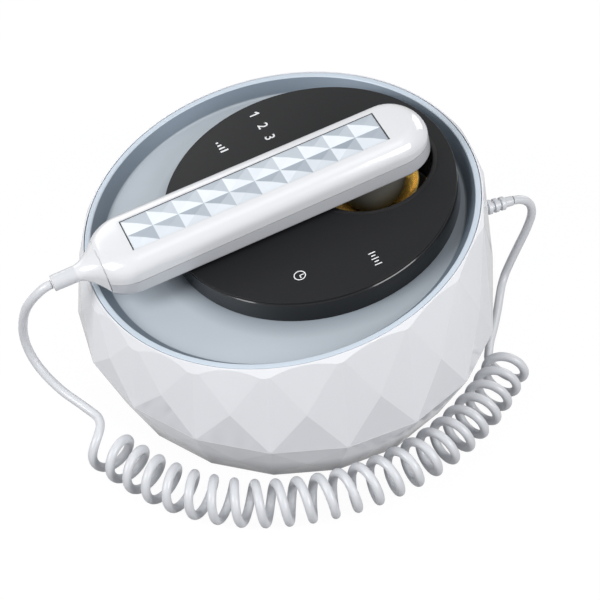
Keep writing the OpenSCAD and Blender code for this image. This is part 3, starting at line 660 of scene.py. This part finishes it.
shell_white = material("shell_white", (230, 231, 235), 0.1, drift=0.015, bump=0.02,
                       colours=shell_painted_light, Coat_Weight=0.2, Coat_Roughness=0.03)
grip_white = material("grip_white", (220, 221, 224), 0.16, drift=0.012, bump=0.02,
                      Coat_Weight=0.6, Coat_Roughness=0.05)
# A darker copy of grip_white for the lower half: painted shade for the underside, which faces away from the
# lamps
grip_white_shaded = material("grip_white_shaded", (190, 192, 197), 0.22, drift=0.012, bump=0.02,
                       Coat_Weight=0.3, Coat_Roughness=0.06)
tray_silver = material("tray_silver", (184, 192, 200), 0.45, place=rim_axis(), turning=2600.0,
                       grain=0.8, bump=0.1, colours=tray_colours, Metallic=0.1,
                       Specular_IOR_Level=0.2)
piano_black = material("piano_black", (9, 10, 12), 0.12, drift=0.1, bump=0.01,
                       Coat_Weight=0.2, Coat_Roughness=0.05, Specular_IOR_Level=0.3)
panel_black = material("panel_black", (17, 18, 20), 0.45, drift=0.06, grain=0.6,
                       grain_scale=4000.0, bump=0.08, spread=0.08, Specular_IOR_Level=0.2)
well_black = material("well_black", (14, 14, 16), 0.3, drift=0.08, bump=0.03,
                      Specular_IOR_Level=0.3)
gold_plate = material("gold_plate", (232, 206, 136), 0.24, drift=0.06,
                      place=rim_axis(POCKET_BACK), turning=5000.0, grain=0.6, bump=0.15,
                      Metallic=0.72)
electrode_metal = material("electrode_metal", (120, 119, 114), 0.3, drift=0.06,
                           place=rim_axis(DOME_BACK), turning=5000.0, grain=0.5, bump=0.08,
                           Metallic=0.45)
collar_chrome = material("collar_chrome", (190, 192, 190), 0.2, drift=0.04,
                         place=rim_axis(DOME_BACK), turning=6000.0, bump=0.08, Metallic=0.8)
jewel_clear = material("jewel_clear", (232, 237, 243), 0.3, drift=0.04, drift_scale=160.0,
                       bump=0.01, colours=facet_colours, Coat_Weight=0.05, Coat_Roughness=0.1,
                       Specular_IOR_Level=0.15)
gasket_black = material("gasket_black", (34, 36, 40), 0.6, drift=0.1, grain=0.8,
                        grain_scale=1800.0, bump=0.15)
cord_white = material("cord_white", (206, 208, 212), 0.36, grain=0.7, grain_scale=1800.0,
                      bump=0.1, Coat_Weight=0.2, Coat_Roughness=0.15)
foot_rubber = material("foot_rubber", (52, 52, 54), 0.75, drift=0.08, grain=1.0,
                       grain_scale=1500.0, bump=0.35)
plate_grey = material("plate_grey", (206, 208, 211), 0.5, grain=1.0, grain_scale=1200.0,
                      bump=0.3)
screw_steel = material("screw_steel", (176, 178, 180), 0.26, drift=0.05, bump=0.08, Metallic=1.0)
ballast_steel = material("ballast_steel", (120, 122, 126), 0.42, drift=0.12, grain=1.0,
                         grain_scale=900.0, bump=0.25, Metallic=1.0)
core_dark = material("core_dark", (48, 48, 52), 0.5, drift=0.1, grain=0.8, grain_scale=1500.0,
                     bump=0.2)
can_blue = material("can_blue", (44, 58, 92), 0.3, drift=0.06, bump=0.05)
sink_alloy = material("sink_alloy", (178, 181, 186), 0.34, drift=0.06, grain_scale=1800.0,
                      bump=0.12, Metallic=1.0)
inlet_black = material("inlet_black", (24, 24, 26), 0.4, drift=0.08, grain_scale=2200.0, bump=0.12)
led_white = material("led_white", (236, 234, 218), 0.25, drift=0.04)
mark_white = material("mark_white", (232, 233, 235), 0.5, grain_scale=5000.0, bump=0.05)
board_green = material("board_green", (20, 80, 50), 0.35, bump=0.06, colours=board_colours)

# ---- base
# In a profile, a third number rounds its corner off.

def cad_copy(node, name):
    """A merged copy of a CAD node's mesh, free to be finished."""
    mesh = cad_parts[node].data.copy()
    mesh.name = name
    obj = link(name, mesh)
    bm = bmesh.new()
    bm.from_mesh(mesh)
    bmesh.ops.remove_doubles(bm, verts=bm.verts, dist=2e-6)
    bmesh.ops.dissolve_limit(bm, angle_limit=math.radians(0.2), verts=bm.verts, edges=bm.edges,
                             delimit={"NORMAL"})
    bm.to_mesh(mesh)
    bm.free()
    return obj


def round_facets(obj, width, least):
    """Rounds the edges between outer facets that turn more than least degrees. The attribute
    "edge" is high on the new faces that turn sharply and run level, and low on the other new
    ones; it says where a highlight is painted. The attribute "lower" is 1 on the outer faces that
    stand upright or lean out; it says where shade is painted."""
    bm = bmesh.new()
    bm.from_mesh(obj.data)
    layers = bm.faces.layers.float
    for name in ("edge", "lower"):
        layers.new(name)
    edge, lower = layers["edge"], layers["lower"]
    outer = lambda f: f.normal.dot(f.calc_center_median().xy.to_3d()) > 0 and f.calc_area() > 2e-5
    top = lambda f: f.normal.z > 0.9
    chosen = [e for e in bm.edges if len(e.link_faces) == 2 and any(outer(f) for f in e.link_faces)
              and all(outer(f) or top(f) for f in e.link_faces)
              and e.calc_face_angle(0) > math.radians(least)]
    made = bmesh.ops.bevel(bm, geom=chosen, offset=width * MM, offset_type="OFFSET", segments=1,
                           profile=0.5, affect="EDGES", clamp_overlap=False)["faces"]
    fresh = set(made)
    bm.normal_update()
    for face in made:
        beside = [f for e in face.edges for f in e.link_faces if f not in fresh]
        turn = max((face.normal.angle(f.normal, 0) for f in beside), default=0)
        sides = [e.verts[1].co - e.verts[0].co for e in face.edges]
        run = max(sides, key=lambda d: d.length).normalized()
        # Where the painted highlight goes: sharp, level edges
        face[edge] = 0.9 if turn > math.radians(6) and abs(run.z) < 0.45 else 0.05
    for face in bm.faces:
        # Where the painted shade goes: upright and outward-leaning outer faces
        face[lower] = 1.0 if -0.2 < face.normal.z < 0.05 and outer(face) else 0.0
    bm.to_mesh(obj.data)
    bm.free()


shell = cad_copy("faceted_shell", "shell")
round_facets(shell, width=0.3, least=3.5)
smooth(shell, 3)
finish_piece(shell, "base", "shell_white", shell_white, "faceted_shell")

tray = lathe("tray", fillet([
    (0, -TRAY_DEPTH - TRAY_T), (TRAY_FLOOR_R + 0.8, -TRAY_DEPTH - TRAY_T),
    (TRAY_FLOOR_R + 2.4, -TRAY_DEPTH + 0.4), (LIP_INNER_R - 0.4, -LEDGE_DROP),
    (LIP_OUTER_R, -LEDGE_DROP), (LIP_OUTER_R, 0, 0.4), (LIP_INNER_R, 0, 0.35),
    (TRAY_FLOOR_R, -TRAY_DEPTH, 0.8), (0, -TRAY_DEPTH)]), RIM, 360)
carve(tray, hole(WELL_OUTER_R + WELL_GAP, POCKET_AXIS),
      hole(CABLE_HOLE_R, RIM @ shift(y=CABLE_HOLE_Y)))
smooth(tray, 35)
finish_piece(tray, "base", "tray_silver", tray_silver, "recess_tray")

foot_r = PLATTER_R + HOUSING_FLARE
housing = lathe("platter_body", fillet([
    (0, PANEL_LOW - HOUSING_TOP_T), (PLATTER_R - HOUSING_WALL, PANEL_LOW - HOUSING_TOP_T),
    (foot_r - HOUSING_WALL, -TRAY_DEPTH), (foot_r, -TRAY_DEPTH, 0.3),
    (PLATTER_R + 0.05, PANEL_LOW - 0.5), (PLATTER_R - 0.45, PANEL_LOW), (0, PANEL_LOW)]),
    PLATTER_AXIS, 360)
carve(housing, hole(WELL_OUTER_R + WELL_GAP, POCKET_AXIS, 192))
smooth(housing, 35)
finish_piece(housing, "base", "piano_black", piano_black, "platter_housing")

panel = lathe("panel", fillet([
    (0, PANEL_LOW), (PLATTER_R - 0.35, PANEL_LOW), (PLATTER_R, PANEL_LOW + 0.35),
    (PLATTER_R, PLATTER_TOP, 0.4), (0, PLATTER_TOP)]), PLATTER_AXIS, 360)
carve(panel, hole(WELL_FLANGE_R + 0.1, POCKET_AXIS, 192))
smooth(panel, 35)
finish_piece(panel, "base", "panel_black", panel_black, "control_panel")

well_low, flange_top = -POCKET_DEPTH - WELL_FLOOR_T, PLATTER_TOP + 0.02
cup_floor = CUP_LOW - CUP_T
well = lathe("pocket", fillet([
    (0, well_low), (WELL_OUTER_R, well_low, 1.5), (WELL_OUTER_R, PANEL_LOW),
    (WELL_FLANGE_R, PANEL_LOW), (WELL_FLANGE_R, flange_top, 0.1), (POCKET_R, flange_top, 2.6),
    (POCKET_R - 0.6, -POCKET_DEPTH, 1.2), (SEAT_R, -POCKET_DEPTH), (SEAT_R, cup_floor),
    (0, cup_floor)], 8), POCKET_AXIS, 256)
carve(well, hole(CLEAR_R, DOME_AXIS, 48))
smooth(well, 35)
finish_piece(well, "base", "piano_black", well_black, "cup_well")

centre = CUP_LOW + BOWL_R
widest = math.asin(CUP_R / BOWL_R)
outer_r = BOWL_R + CUP_T
inside = [(BOWL_R * math.sin(a), centre - BOWL_R * math.cos(a))
          for a in np.linspace(0, widest, 40)]
outside = [(outer_r * math.sin(a) - 0.2, centre - outer_r * math.cos(a))
           for a in np.linspace(widest, 0.25 * widest, 40)]
rim_z = inside[-1][1]
cup = lathe("cup", fillet(inside + [(CUP_R + 0.4, rim_z + 0.35, 0.3), (CUP_R + 1, rim_z + 0.1, 0.3)]
                          + outside + [(6.4, cup_floor), (0, cup_floor)], 3), POCKET_AXIS, 256)
carve(cup, hole(CLEAR_R, DOME_AXIS, 48))
smooth(cup, 35)
finish_piece(cup, "base", "gold_plate", gold_plate, "contact_cup")

# Strain relief at the rear: a block behind the wall, a neck in it, and ribs outside
back = BOOT_SEAT_Y - 11.6
ribs = []
for k in range(RIBS):
    y, r = BOOT_SEAT_Y + 4.6 + k * RIB_PITCH, RIB_R - k * 0.15
    ribs += [(GROOVE_R, y, 0.2), (GROOVE_R, y + 1.3, 0.2), (r, y + 1.4, 0.4), (r, y + 3.6, 0.4)]
base_boot = lathe("rear_boot", fillet([
    (0, back), (BOOT_BLOCK_R, back), (BOOT_BLOCK_R, back + 3), (BOOT_NECK_R, back + 3),
    (BOOT_NECK_R, BOOT_SEAT_Y), (BOOT_COLLAR_R, BOOT_SEAT_Y),
    (BOOT_COLLAR_R, BOOT_SEAT_Y + 4, 0.5)] + ribs
    + [(2.75, BOOT_END_Y - 4.2), (2.6, BOOT_END_Y, 0.25), (0, BOOT_END_Y)]),
    shift(z=BOOT_Z) @ ALONG_Y, 96)
smooth(base_boot, 40)
finish_piece(base_boot, "base", "cord_white", cord_white, "base_boot")

# ---- handpiece

def tail_share(y):
    """How far y is along the tail, from 0 at the tail's centre to 1 at the seam."""
    return max(0, min(1, (TAIL_CENTRE - y) / (TAIL_SEAM + TAIL_CENTRE)))


def top_z(y):
    return (GRIP_TOP - max(0, STRIP_END - y) * math.tan(TOP_PITCH) - TAIL_FALL * tail_share(y)
            - HEAD_FALL * (max(0, y - HEAD_CENTRE) / GRIP_HALF_W) ** 2)


def low_z(y):
    return GRIP_BOTTOM + TAIL_RISE * tail_share(y) ** 2


def half_w(y):
    share = (HEAD_CENTRE - y) / (HEAD_CENTRE - TAIL_CENTRE)
    return GRIP_HALF_W + (TAIL_HALF_W - GRIP_HALF_W) * share


def part_z(y):
    """Height of the parting line."""
    return PART_Z + (y - PART_Y) * PART_RISE


def shoulder_share(y):
    """What is left of the shoulder's height where the upper half is thin."""
    return min(1, (top_z(y) - part_z(y) - 0.6) / SHOULDER_R)


def outline(height, inset, arc=28):
    """The handpiece's outline, inset from the side: from the tail's tip by the right side to the
    head's tip, and back by the left side, at the heights that height(y) gives."""
    tail_r, head_r = TAIL_HALF_W - inset, GRIP_HALF_W - inset
    right = [(tail_r * math.cos(a), TAIL_CENTRE - tail_r * math.sin(a))
             for a in np.linspace(math.pi / 2, 0, arc)[1:]]
    right += [(half_w(y) - inset, y) for y in np.linspace(TAIL_CENTRE, HEAD_CENTRE, 30)[1:-1]]
    right += [(head_r * math.cos(a), HEAD_CENTRE + head_r * math.sin(a))
              for a in np.linspace(0, math.pi / 2, arc)[:-1]]
    ring = [(0, TAIL_CENTRE - tail_r)] + right + [(0, HEAD_CENTRE + head_r)]
    ring += [(-x, y) for x, y in reversed(right)]
    return [(x, y, height(y)) for x, y in ring]


def outline_stack(name, rings):
    """A solid between stacked outlines, whose two caps are strips between mirrored points."""
    n = len(rings[0])
    faces = strips(len(rings), n)
    for first in (0, (len(rings) - 1) * n):
        for i in range(n // 2):
            corners = [first + i, first + i + 1, first + n - i - 1, first + (n - i) % n]
            faces.append(tuple(dict.fromkeys(corners)))
    return make(name, [p for ring in rings for p in ring], faces, RIM)


def beyond_seam(wall):
    """A cutter for what lies past the tail's seam."""
    return block("cutter", (-50, -TAIL_SEAM - 50 + wall, -20), (50, -TAIL_SEAM + wall, 60), RIM)


def rounding(radius, steps):
    """Height and inset of each ring of a rounded edge, from the flat face to the side."""
    return [(radius * (1 - math.cos(a)), radius * (1 - math.sin(a)))
            for a in np.linspace(0, math.pi / 2, steps)]


def lower_form(name, wall=0, above=0):
    """The lower half as a solid, or with a wall the room inside it, which ends above the parting
    line."""
    rings = [outline(lambda y: low_z(y) + wall + h, wall + inset)
             for h, inset in rounding(KEEL_R - wall, 7)]
    if wall:
        rings.append(outline(lambda y: part_z(y) + above, wall))
    else:
        rings += [outline(lambda y: part_z(y) - SEAM, inset) for inset in (0, SEAM_DEPTH)]
    return carve(outline_stack(name, rings), beyond_seam(wall))


def upper_form(name, wall=0, ceiling=0, below=0):
    """The upper half as a solid, or with a wall the room inside it, which starts below the parting
    line."""
    if wall:
        rings = [outline(lambda y: part_z(y) - below, wall)]
    else:
        rings = [outline(lambda y: part_z(y) + SEAM, inset) for inset in (SEAM_DEPTH, 0)]
    for h, inset in reversed(rounding(SHOULDER_R - wall, 16)):
        rings.append(outline(lambda y: top_z(y) - (ceiling + h) * shoulder_share(y), wall + inset))
    return carve(outline_stack(name, rings), beyond_seam(wall))


def cord_hole():
    return hole(CORD_HOLE_R, TAIL_AXIS, low=-TAIL_SEAM - 10, high=-TAIL_SEAM + 10)


# The frame of the handpiece's top, which slopes down towards the tail
ON_TOP = (RIM @ shift(y=STRIP_END, z=GRIP_TOP) @ Matrix.Rotation(TOP_PITCH, 4, "X")
          @ shift(y=-STRIP_END, z=-GRIP_TOP))

upper = upper_form("grip_top_shell")
carve(upper, upper_form("cutter", GRIP_WALL, STRIP_DEPTH + 2, 3),
      block("cutter", (-STRIP_W / 2, STRIP_START, GRIP_TOP - STRIP_DEPTH),
            (STRIP_W / 2, STRIP_END, GRIP_TOP + 9), ON_TOP), cord_hole())
smooth(upper, 35)
finish_piece(upper, "handpiece", "grip_white", grip_white, "upper_shell")

lower = lower_form("grip_lower_shell")
carve(lower, lower_form("cutter", GRIP_WALL, 3))
carve(lower, rod("boss", DOME_R + 0.6, DOME_TOP - 0.5, DOME_TOP + 2, DOME_AXIS), operation="UNION")
for x in (-POST_X, POST_X):
    for y in POST_YS:
        place = RIM @ shift(x, y)
        carve(lower, rod("post", POST_R, GRIP_BOTTOM + 1, POST_TOP, place, 32),
              rod("peg", PEG_R, POST_TOP - 0.4, PEG_TOP, place, 24), operation="UNION")
carve(lower, hole(DOME_R + 0.05, DOME_AXIS, 128, high=DOME_TOP), hole(CLEAR_R, DOME_AXIS, 32))
for y in SCREW_YS:
    carve(lower, hole(SCREW_HOLE_R, RIM @ shift(y=y), 48, high=GRIP_BOTTOM + 1.5))
carve(lower, cord_hole())
smooth(lower, 35)
finish_piece(lower, "handpiece", "grip_white", grip_white_shaded, "lower_shell")


def edge_drop(radius, inset):
    """Height that a rounded edge takes off at an inset from the side."""
    return 0 if inset >= radius else radius - math.sqrt(radius ** 2 - (radius - inset) ** 2)


# Tail cap: a funnel from the outline at the seam down to the neck round the strain relief
NECK_R = BOOT_SLEEVE_R + 0.1
reach = TAIL_SEAM + TAIL_CENTRE
seam_half = math.sqrt(TAIL_HALF_W ** 2 - reach ** 2)
across = [seam_half * math.sin(a) for a in np.linspace(0, math.pi / 2, 20)]
inset_at = lambda x: TAIL_HALF_W - math.hypot(x, reach)
right = [(x, low_z(-TAIL_SEAM) + edge_drop(KEEL_R, inset_at(x))) for x in across]
right += [(x, top_z(-TAIL_SEAM) - edge_drop(SHOULDER_R, inset_at(x))) for x in reversed(across)]
seam_ring = np.array(right + [(-x, z) for x, z in reversed(right[1:-1])])
n = len(seam_ring)
angles = np.linspace(-math.pi / 2, 1.5 * math.pi, n, endpoint=False)
neck_ring = np.stack([NECK_R * np.cos(angles), TAIL_AXIS_Z + NECK_R * np.sin(angles)], 1)
middle = np.array([0, TAIL_AXIS_Z])
groove = seam_ring + (middle - seam_ring) * 0.06
rings = [(groove, -TAIL_SEAM), (groove, -TAIL_SEAM - 0.45)]
rings += [(neck_ring + (seam_ring - neck_ring) * (1 - t) ** 1.6,
           -TAIL_SEAM + (CAP_END + TAIL_SEAM) * t) for t in np.linspace(0.035, 1, 32)]
verts = [(x, y, z) for ring, y in rings for x, z in ring]
ends = [tuple(range(n)), tuple(range(len(verts) - n, len(verts)))]
tail_cap = make("tail_funnel", verts, strips(len(rings), n) + ends, RIM)
carve(tail_cap, hole(BOOT_R + 0.05, TAIL_AXIS, low=-TAIL_SEAM - 30, high=-TAIL_SEAM + 10))
smooth(tail_cap, 40)
finish_piece(tail_cap, "handpiece", "grip_white", grip_white, "tail_cap")

boot = lathe("tail_boot", fillet([
    (0, BOOT_TIP), (BOOT_SLEEVE_R, BOOT_TIP, 0.4), (NECK_R, CAP_END), (BOOT_R, CAP_END),
    (BOOT_R, -TAIL_SEAM - 3), (4.5, -TAIL_SEAM - 3), (4.5, -TAIL_SEAM), (0, -TAIL_SEAM)]),
    TAIL_AXIS, 96)
smooth(boot, 40)
finish_piece(boot, "handpiece", "cord_white", cord_white, "handpiece_boot")

# Dome electrode, hollow with a post for its screw, and its ring
place = DOME_AXIS @ shift(z=DOME_Z)
step_z, neck_z = COLLAR_LOW - DOME_Z, DOME_TOP - DOME_Z
inner_r, hollow_r = DOME_R - DOME_T, DOME_NECK_R - DOME_T
dome_profile = [(0, -DOME_R)]
dome_profile += [(DOME_R * math.cos(a), DOME_R * math.sin(a))
                 for a in np.linspace(-math.pi / 2, 0, 48)[1:]]
dome_profile += [(DOME_R, step_z), (DOME_NECK_R, step_z), (DOME_NECK_R, neck_z), (hollow_r, neck_z)]
dome_profile += [(hollow_r * math.cos(a), inner_r * math.sin(a))
                 for a in np.linspace(0, -math.radians(75), 24)]
dome_profile += [(3.6, 0.5 - inner_r), (3.6, neck_z), (0, neck_z)]
dome = lathe("dome", dome_profile, place, 192)
carve(dome, hole(1.3, place, 24, neck_z - 12, neck_z + 10))
smooth(dome, 35)
finish_piece(dome, "handpiece", "electrode_metal", electrode_metal, "electrode_dome")

collar_r = DOME_NECK_R + 0.05
ring = lathe("dome_ring", fillet([
    (collar_r, COLLAR_LOW), (DOME_R, COLLAR_LOW, 0.3), (DOME_R, DOME_TOP), (collar_r, DOME_TOP)]),
    DOME_AXIS, 192)
smooth(ring, 35)
finish_piece(ring, "handpiece", "collar_chrome", collar_chrome, "electrode_collar")

# ---- repeated details

def grow(name, tree, matrix, **values):
    """Runs a tree on an empty mesh, and keeps its result as a plain mesh in its place."""
    obj = link(name, bpy.data.meshes.new(name))
    mod = obj.modifiers.new("grow", "NODES")
    mod.node_group = tree
    for item in tree.interface.items_tree:
        if item.in_out == "INPUT" and item.name in values:
            mod[item.identifier] = values[item.name]
    plain(obj)
    obj.data.transform(matrix)
    return obj


# Four-sided pyramids in rows, standing on the XY plane
jewels, n, given = node_group(
    "jewel_rows", "Geometry",
    [("Geometry", "Geometry"), ("Width", "Float", 0.02), ("Length", "Float", 0.13),
     ("Across", "Int", 2), ("Along", "Int", 10), ("Rise", "Float", 0.0017),
     ("Finish", "Material")],
    [("Geometry", "Geometry")])
cell_w = n.math("DIVIDE", given["Width"], given["Across"])
cell_l = n.math("DIVIDE", given["Length"], given["Along"])
places = n.out("GeometryNodeMeshGrid", Size_X=n.math("SUBTRACT", given["Width"], cell_w),
               Size_Y=n.math("SUBTRACT", given["Length"], cell_l),
               Vertices_X=given["Across"], Vertices_Y=given["Along"])
cone = n.out("GeometryNodeMeshCone", fill_type="NGON", Vertices=4, Radius_Top=0.0,
             Radius_Bottom=0.5 ** 0.5, Depth=given["Rise"])
squared = n.out("GeometryNodeTransform", Geometry=cone, Rotation=(0, 0, math.pi / 4))
rows = n.out("GeometryNodeInstanceOnPoints", Points=places, Instance=squared,
             Scale=n.out("CombineXYZ", X=cell_w, Y=cell_l, Z=1.0))
solid = n.out("GeometryNodeRealizeInstances", Geometry=rows)
facing = n.add("SeparateXYZ", Vector=n.out("GeometryNodeInputNormal")).outputs
spot = n.add("SeparateXYZ", Vector=n.out("GeometryNodeInputPosition")).outputs

# Painted shade: darker where a facet faces -X or the head, and a little in the row on the +X side;
# the random value below adds a tone that differs from facet to facet
shade = 0.0
for mask, share in ((n.math("LESS_THAN", facing[0], -0.05), 0.5),
                    (n.math("GREATER_THAN", facing[1], 0.05), 0.42),
                    (n.math("GREATER_THAN", spot[0], 0.0), 0.17)):
    shade = n.math("MULTIPLY_ADD", mask, share, shade)
chance = n.add("FunctionNodeRandomValue", data_type="FLOAT", Min=-0.08, Max=0.08, Seed=7).outputs
shade = n.math("ADD", shade, next(v for v in chance if v.enabled))
toned = n.out("GeometryNodeStoreNamedAttribute", data_type="FLOAT", domain="FACE",
              Geometry=solid, Name="shade", Value=shade)
dressed = n.out("GeometryNodeSetMaterial", Geometry=toned, Material=given["Finish"])
n.add("NodeGroupOutput", Geometry=dressed)

strip_w = STRIP_W - 2 * GASKET_W
strip_start, strip_end = STRIP_START + GASKET_END, STRIP_END - GASKET_END
strip_low, cell_low = GRIP_TOP - STRIP_DEPTH, GRIP_TOP - CELL_RISE
strip = grow("jewel_cells", jewels, ON_TOP @ shift(y=(strip_start + strip_end) / 2, z=cell_low),
             Width=strip_w * MM, Length=(strip_end - strip_start) * MM, Across=CELLS_WIDE,
             Along=CELLS_LONG, Rise=CELL_RISE * MM, Finish=jewel_clear)
finish_piece(strip, "handpiece", "jewel_clear", jewel_clear, "jewel_strip")
strip_plate = block("jewel_plate", (-strip_w / 2, strip_start, strip_low),
                    (strip_w / 2, strip_end, cell_low), ON_TOP)
finish_piece(chamfer(strip_plate, 0.12), "handpiece", "jewel_clear", jewel_clear)
gasket = block("strip_gasket", (-STRIP_W / 2, STRIP_START, strip_low),
               (STRIP_W / 2, STRIP_END, GRIP_TOP - GASKET_DROP), ON_TOP)
carve(gasket, block("cutter", (-strip_w / 2, strip_start, strip_low - 1),
                    (strip_w / 2, strip_end, GRIP_TOP + 1), ON_TOP))
finish_piece(chamfer(gasket, 0.06), "handpiece", "core_dark", gasket_black)

# ---- marks
# Thin raised print on the panel, in millimetres in the rim's frame.

MARK_T = 0.03


def flat_mark(name, shapes):
    """One mark from flat polygons."""
    verts, faces = [], []
    for poly in shapes:
        k, m = len(verts), len(poly)
        verts += [(x, y, z) for z in (PLATTER_TOP, PLATTER_TOP + MARK_T) for x, y in poly]
        faces += [tuple(range(k, k + m)), tuple(range(k + m, k + 2 * m))]
        faces += [tuple(k + i for i in face) for face in strips(2, m)]
    return finish_piece(make(name, verts, faces, RIM), "base", "led_white", mark_white)


def box_at(x, y, w, h):
    return [(x + i * w / 2, y + j * h / 2) for i, j in ((-1, -1), (1, -1), (1, 1), (-1, 1))]


def ring_at(x, y, r, w, n=48):
    """A ring of width w inside radius r, as n four-sided pieces."""
    out = []
    for i in range(n):
        a, b = 2 * math.pi * i / n, 2 * math.pi * (i + 1) / n
        out.append([(x + q * math.cos(t), y + q * math.sin(t))
                    for q, t in ((r - w, a), (r, a), (r, b), (r - w, b))])
    return out


def numeral(text, x, y, size):
    """A plain numeral about a place."""
    curve = bpy.data.curves.new("numeral_" + text, "FONT")
    curve.body = text
    curve.size = size * MM
    curve.align_x, curve.align_y = "CENTER", "CENTER"
    curve.offset = 0.012 * size * MM
    curve.extrude = MARK_T / 2 * MM
    obj = link("numeral_" + text, curve)
    dg = bpy.context.evaluated_depsgraph_get()
    mesh = bpy.data.meshes.new_from_object(obj.evaluated_get(dg))
    bpy.data.objects.remove(obj)
    mesh.transform(RIM @ shift(x, y, PLATTER_TOP + MARK_T / 2))
    outward(mesh)
    made = link("numeral_" + text, mesh)
    return finish_piece(made, "base", "led_white", mark_white)


flat_mark("numeral_1", [box_at(-65.3, 13.5, 0.95, 5.2),
                        [(-65.6, 16.1), (-67.1, 14.9), (-67.1, 13.9), (-65.6, 15.0)]])
for text, x in (("2", -55.3), ("3", -45.5)):
    numeral(text, x, 13.9, 7.4)
flat_mark("level_bars", [box_at(-56.6 + 2.4 * k, -11.2 + 0.5 * k, 1.1, 1.2 + k) for k in range(4)])
flat_mark("clock_sign", ring_at(50.1, -9.2, 3.0, 0.5)
          + [box_at(50.1, -8.2, 0.5, 2.2), box_at(51.0, -9.2, 2.0, 0.5)])
flat_mark("minute_ticks", [box_at(55.3 + 2 * k, 26.4, 0.6, 2.2 if k % 2 else 3.6)
                           for k in range(5)])

# ---- carried-over nodes

for node, finish in {
    "base_plate": plate_grey, "rubber_feet": foot_rubber, "base_screws": screw_steel,
    "ballast_plate": ballast_steel, "main_board": board_green, "board_screws": screw_steel,
    "transformer": core_dark, "capacitors": can_blue, "heat_sink": sink_alloy,
    "dc_inlet": inlet_black, "platter_screws": screw_steel, "touch_board": board_green,
    "indicator_leds": led_white, "cup_screw": gold_plate, "electrode_screw": screw_steel,
    "handpiece_board": board_green, "handpiece_screws": screw_steel,
}.items():
    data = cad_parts[node].data
    data.materials.clear()
    data.materials.append(finish)

# ---- the cord's facts

cord.data.materials.append(cord_white)
smooth(cord, 60)
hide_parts("base_lead", "curly_cord", "handpiece_lead")
lead_top = Vector(HANDPIECE_ROUTE[0])
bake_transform(cord, "handpiece", "base", start=lead_top, end=lead_top + Vector((0, 0.027, -0.054)))

# ---- floor and light

def kinds_of_ray(n):
    """Whether a ray comes from the camera, and whether it comes by way of gloss or glass."""
    path = n.add("LightPath").outputs
    mirrored = n.math("MAXIMUM", path["Is Glossy Ray"], path["Is Transmission Ray"])
    return path["Is Camera Ray"], mirrored


FLOOR = 4.0  # metres from the middle to each edge
floor_mesh = bpy.data.meshes.new("floor")
floor_mesh.from_pydata([(x * FLOOR, y * FLOOR, 0) for x, y in ((-1, -1), (1, -1), (1, 1), (-1, 1))],
                       [], [(0, 1, 2, 3)])
floor = link("floor", floor_mesh)
floor.location.z = -0.2 * MM
floor_paint = bpy.data.materials.new("floor_paint")
floor_paint.use_nodes = True
n = Nodes(floor_paint.node_tree)
speck = n.use(tone_drift, Place=n.add("TexCoord").outputs["Object"], Colour=(0.3, 0.3, 0.31, 1),
              Scale=3.0, Amount=0.01)["Colour"]
direct, mirrored = kinds_of_ray(n)
seen = n.math("MAXIMUM", n.math("MULTIPLY", direct, 0.84), n.math("MULTIPLY", mirrored, 0.4))
n.add("OutputMaterial", Surface=n.out(
    "MixShader", Fac=seen, i1=n.out("BsdfDiffuse", Color=speck),
    i2=n.out("Emission", Color=(1, 1, 1, 1), Strength=1.14)))
floor.data.materials.append(floor_paint)

# White to the camera and in reflections, and a dim sky for what it lights
world = bpy.data.worlds.new("studio")
bpy.context.scene.world = world
world.use_nodes = True
n = Nodes(world.node_tree)
n.add("OutputWorld", Surface=n.out(
    "MixShader", Fac=n.math("MAXIMUM", *kinds_of_ray(n)),
    i1=n.out("Background", Color=(0.94, 0.97, 1.0, 1), Strength=0.16),
    i2=n.out("Background", Color=(1, 1, 1, 1), Strength=1.0)))

# Softboxes that look at the object, by azimuth and elevation in degrees and power in watts
LAMP_SIZE, LAMP_DISTANCE = 0.6, 1.25
AIM = Vector((0, 0, 0.05))
for name, azimuth, elevation, power in (
        ("left_front", -86, 36, 10.6), ("right_front", 26, 36, 10.3), ("overhead", 0, 80, 1.2),
        ("rear", 120, 24, 3.4), ("far_side", -165, 30, 2.6)):
    a, e = math.radians(azimuth), math.radians(elevation)
    place = LAMP_DISTANCE * Vector((math.cos(e) * math.cos(a), math.cos(e) * math.sin(a),
                                    math.sin(e)))
    data = bpy.data.lights.new(name, "AREA")
    data.size = LAMP_SIZE
    data.energy = power
    lamp = link(name, data)
    lamp.location = place
    lamp.rotation_euler = (AIM - place).to_track_quat("-Z", "Y").to_euler()

bpy.context.scene.view_settings.view_transform = "Standard"
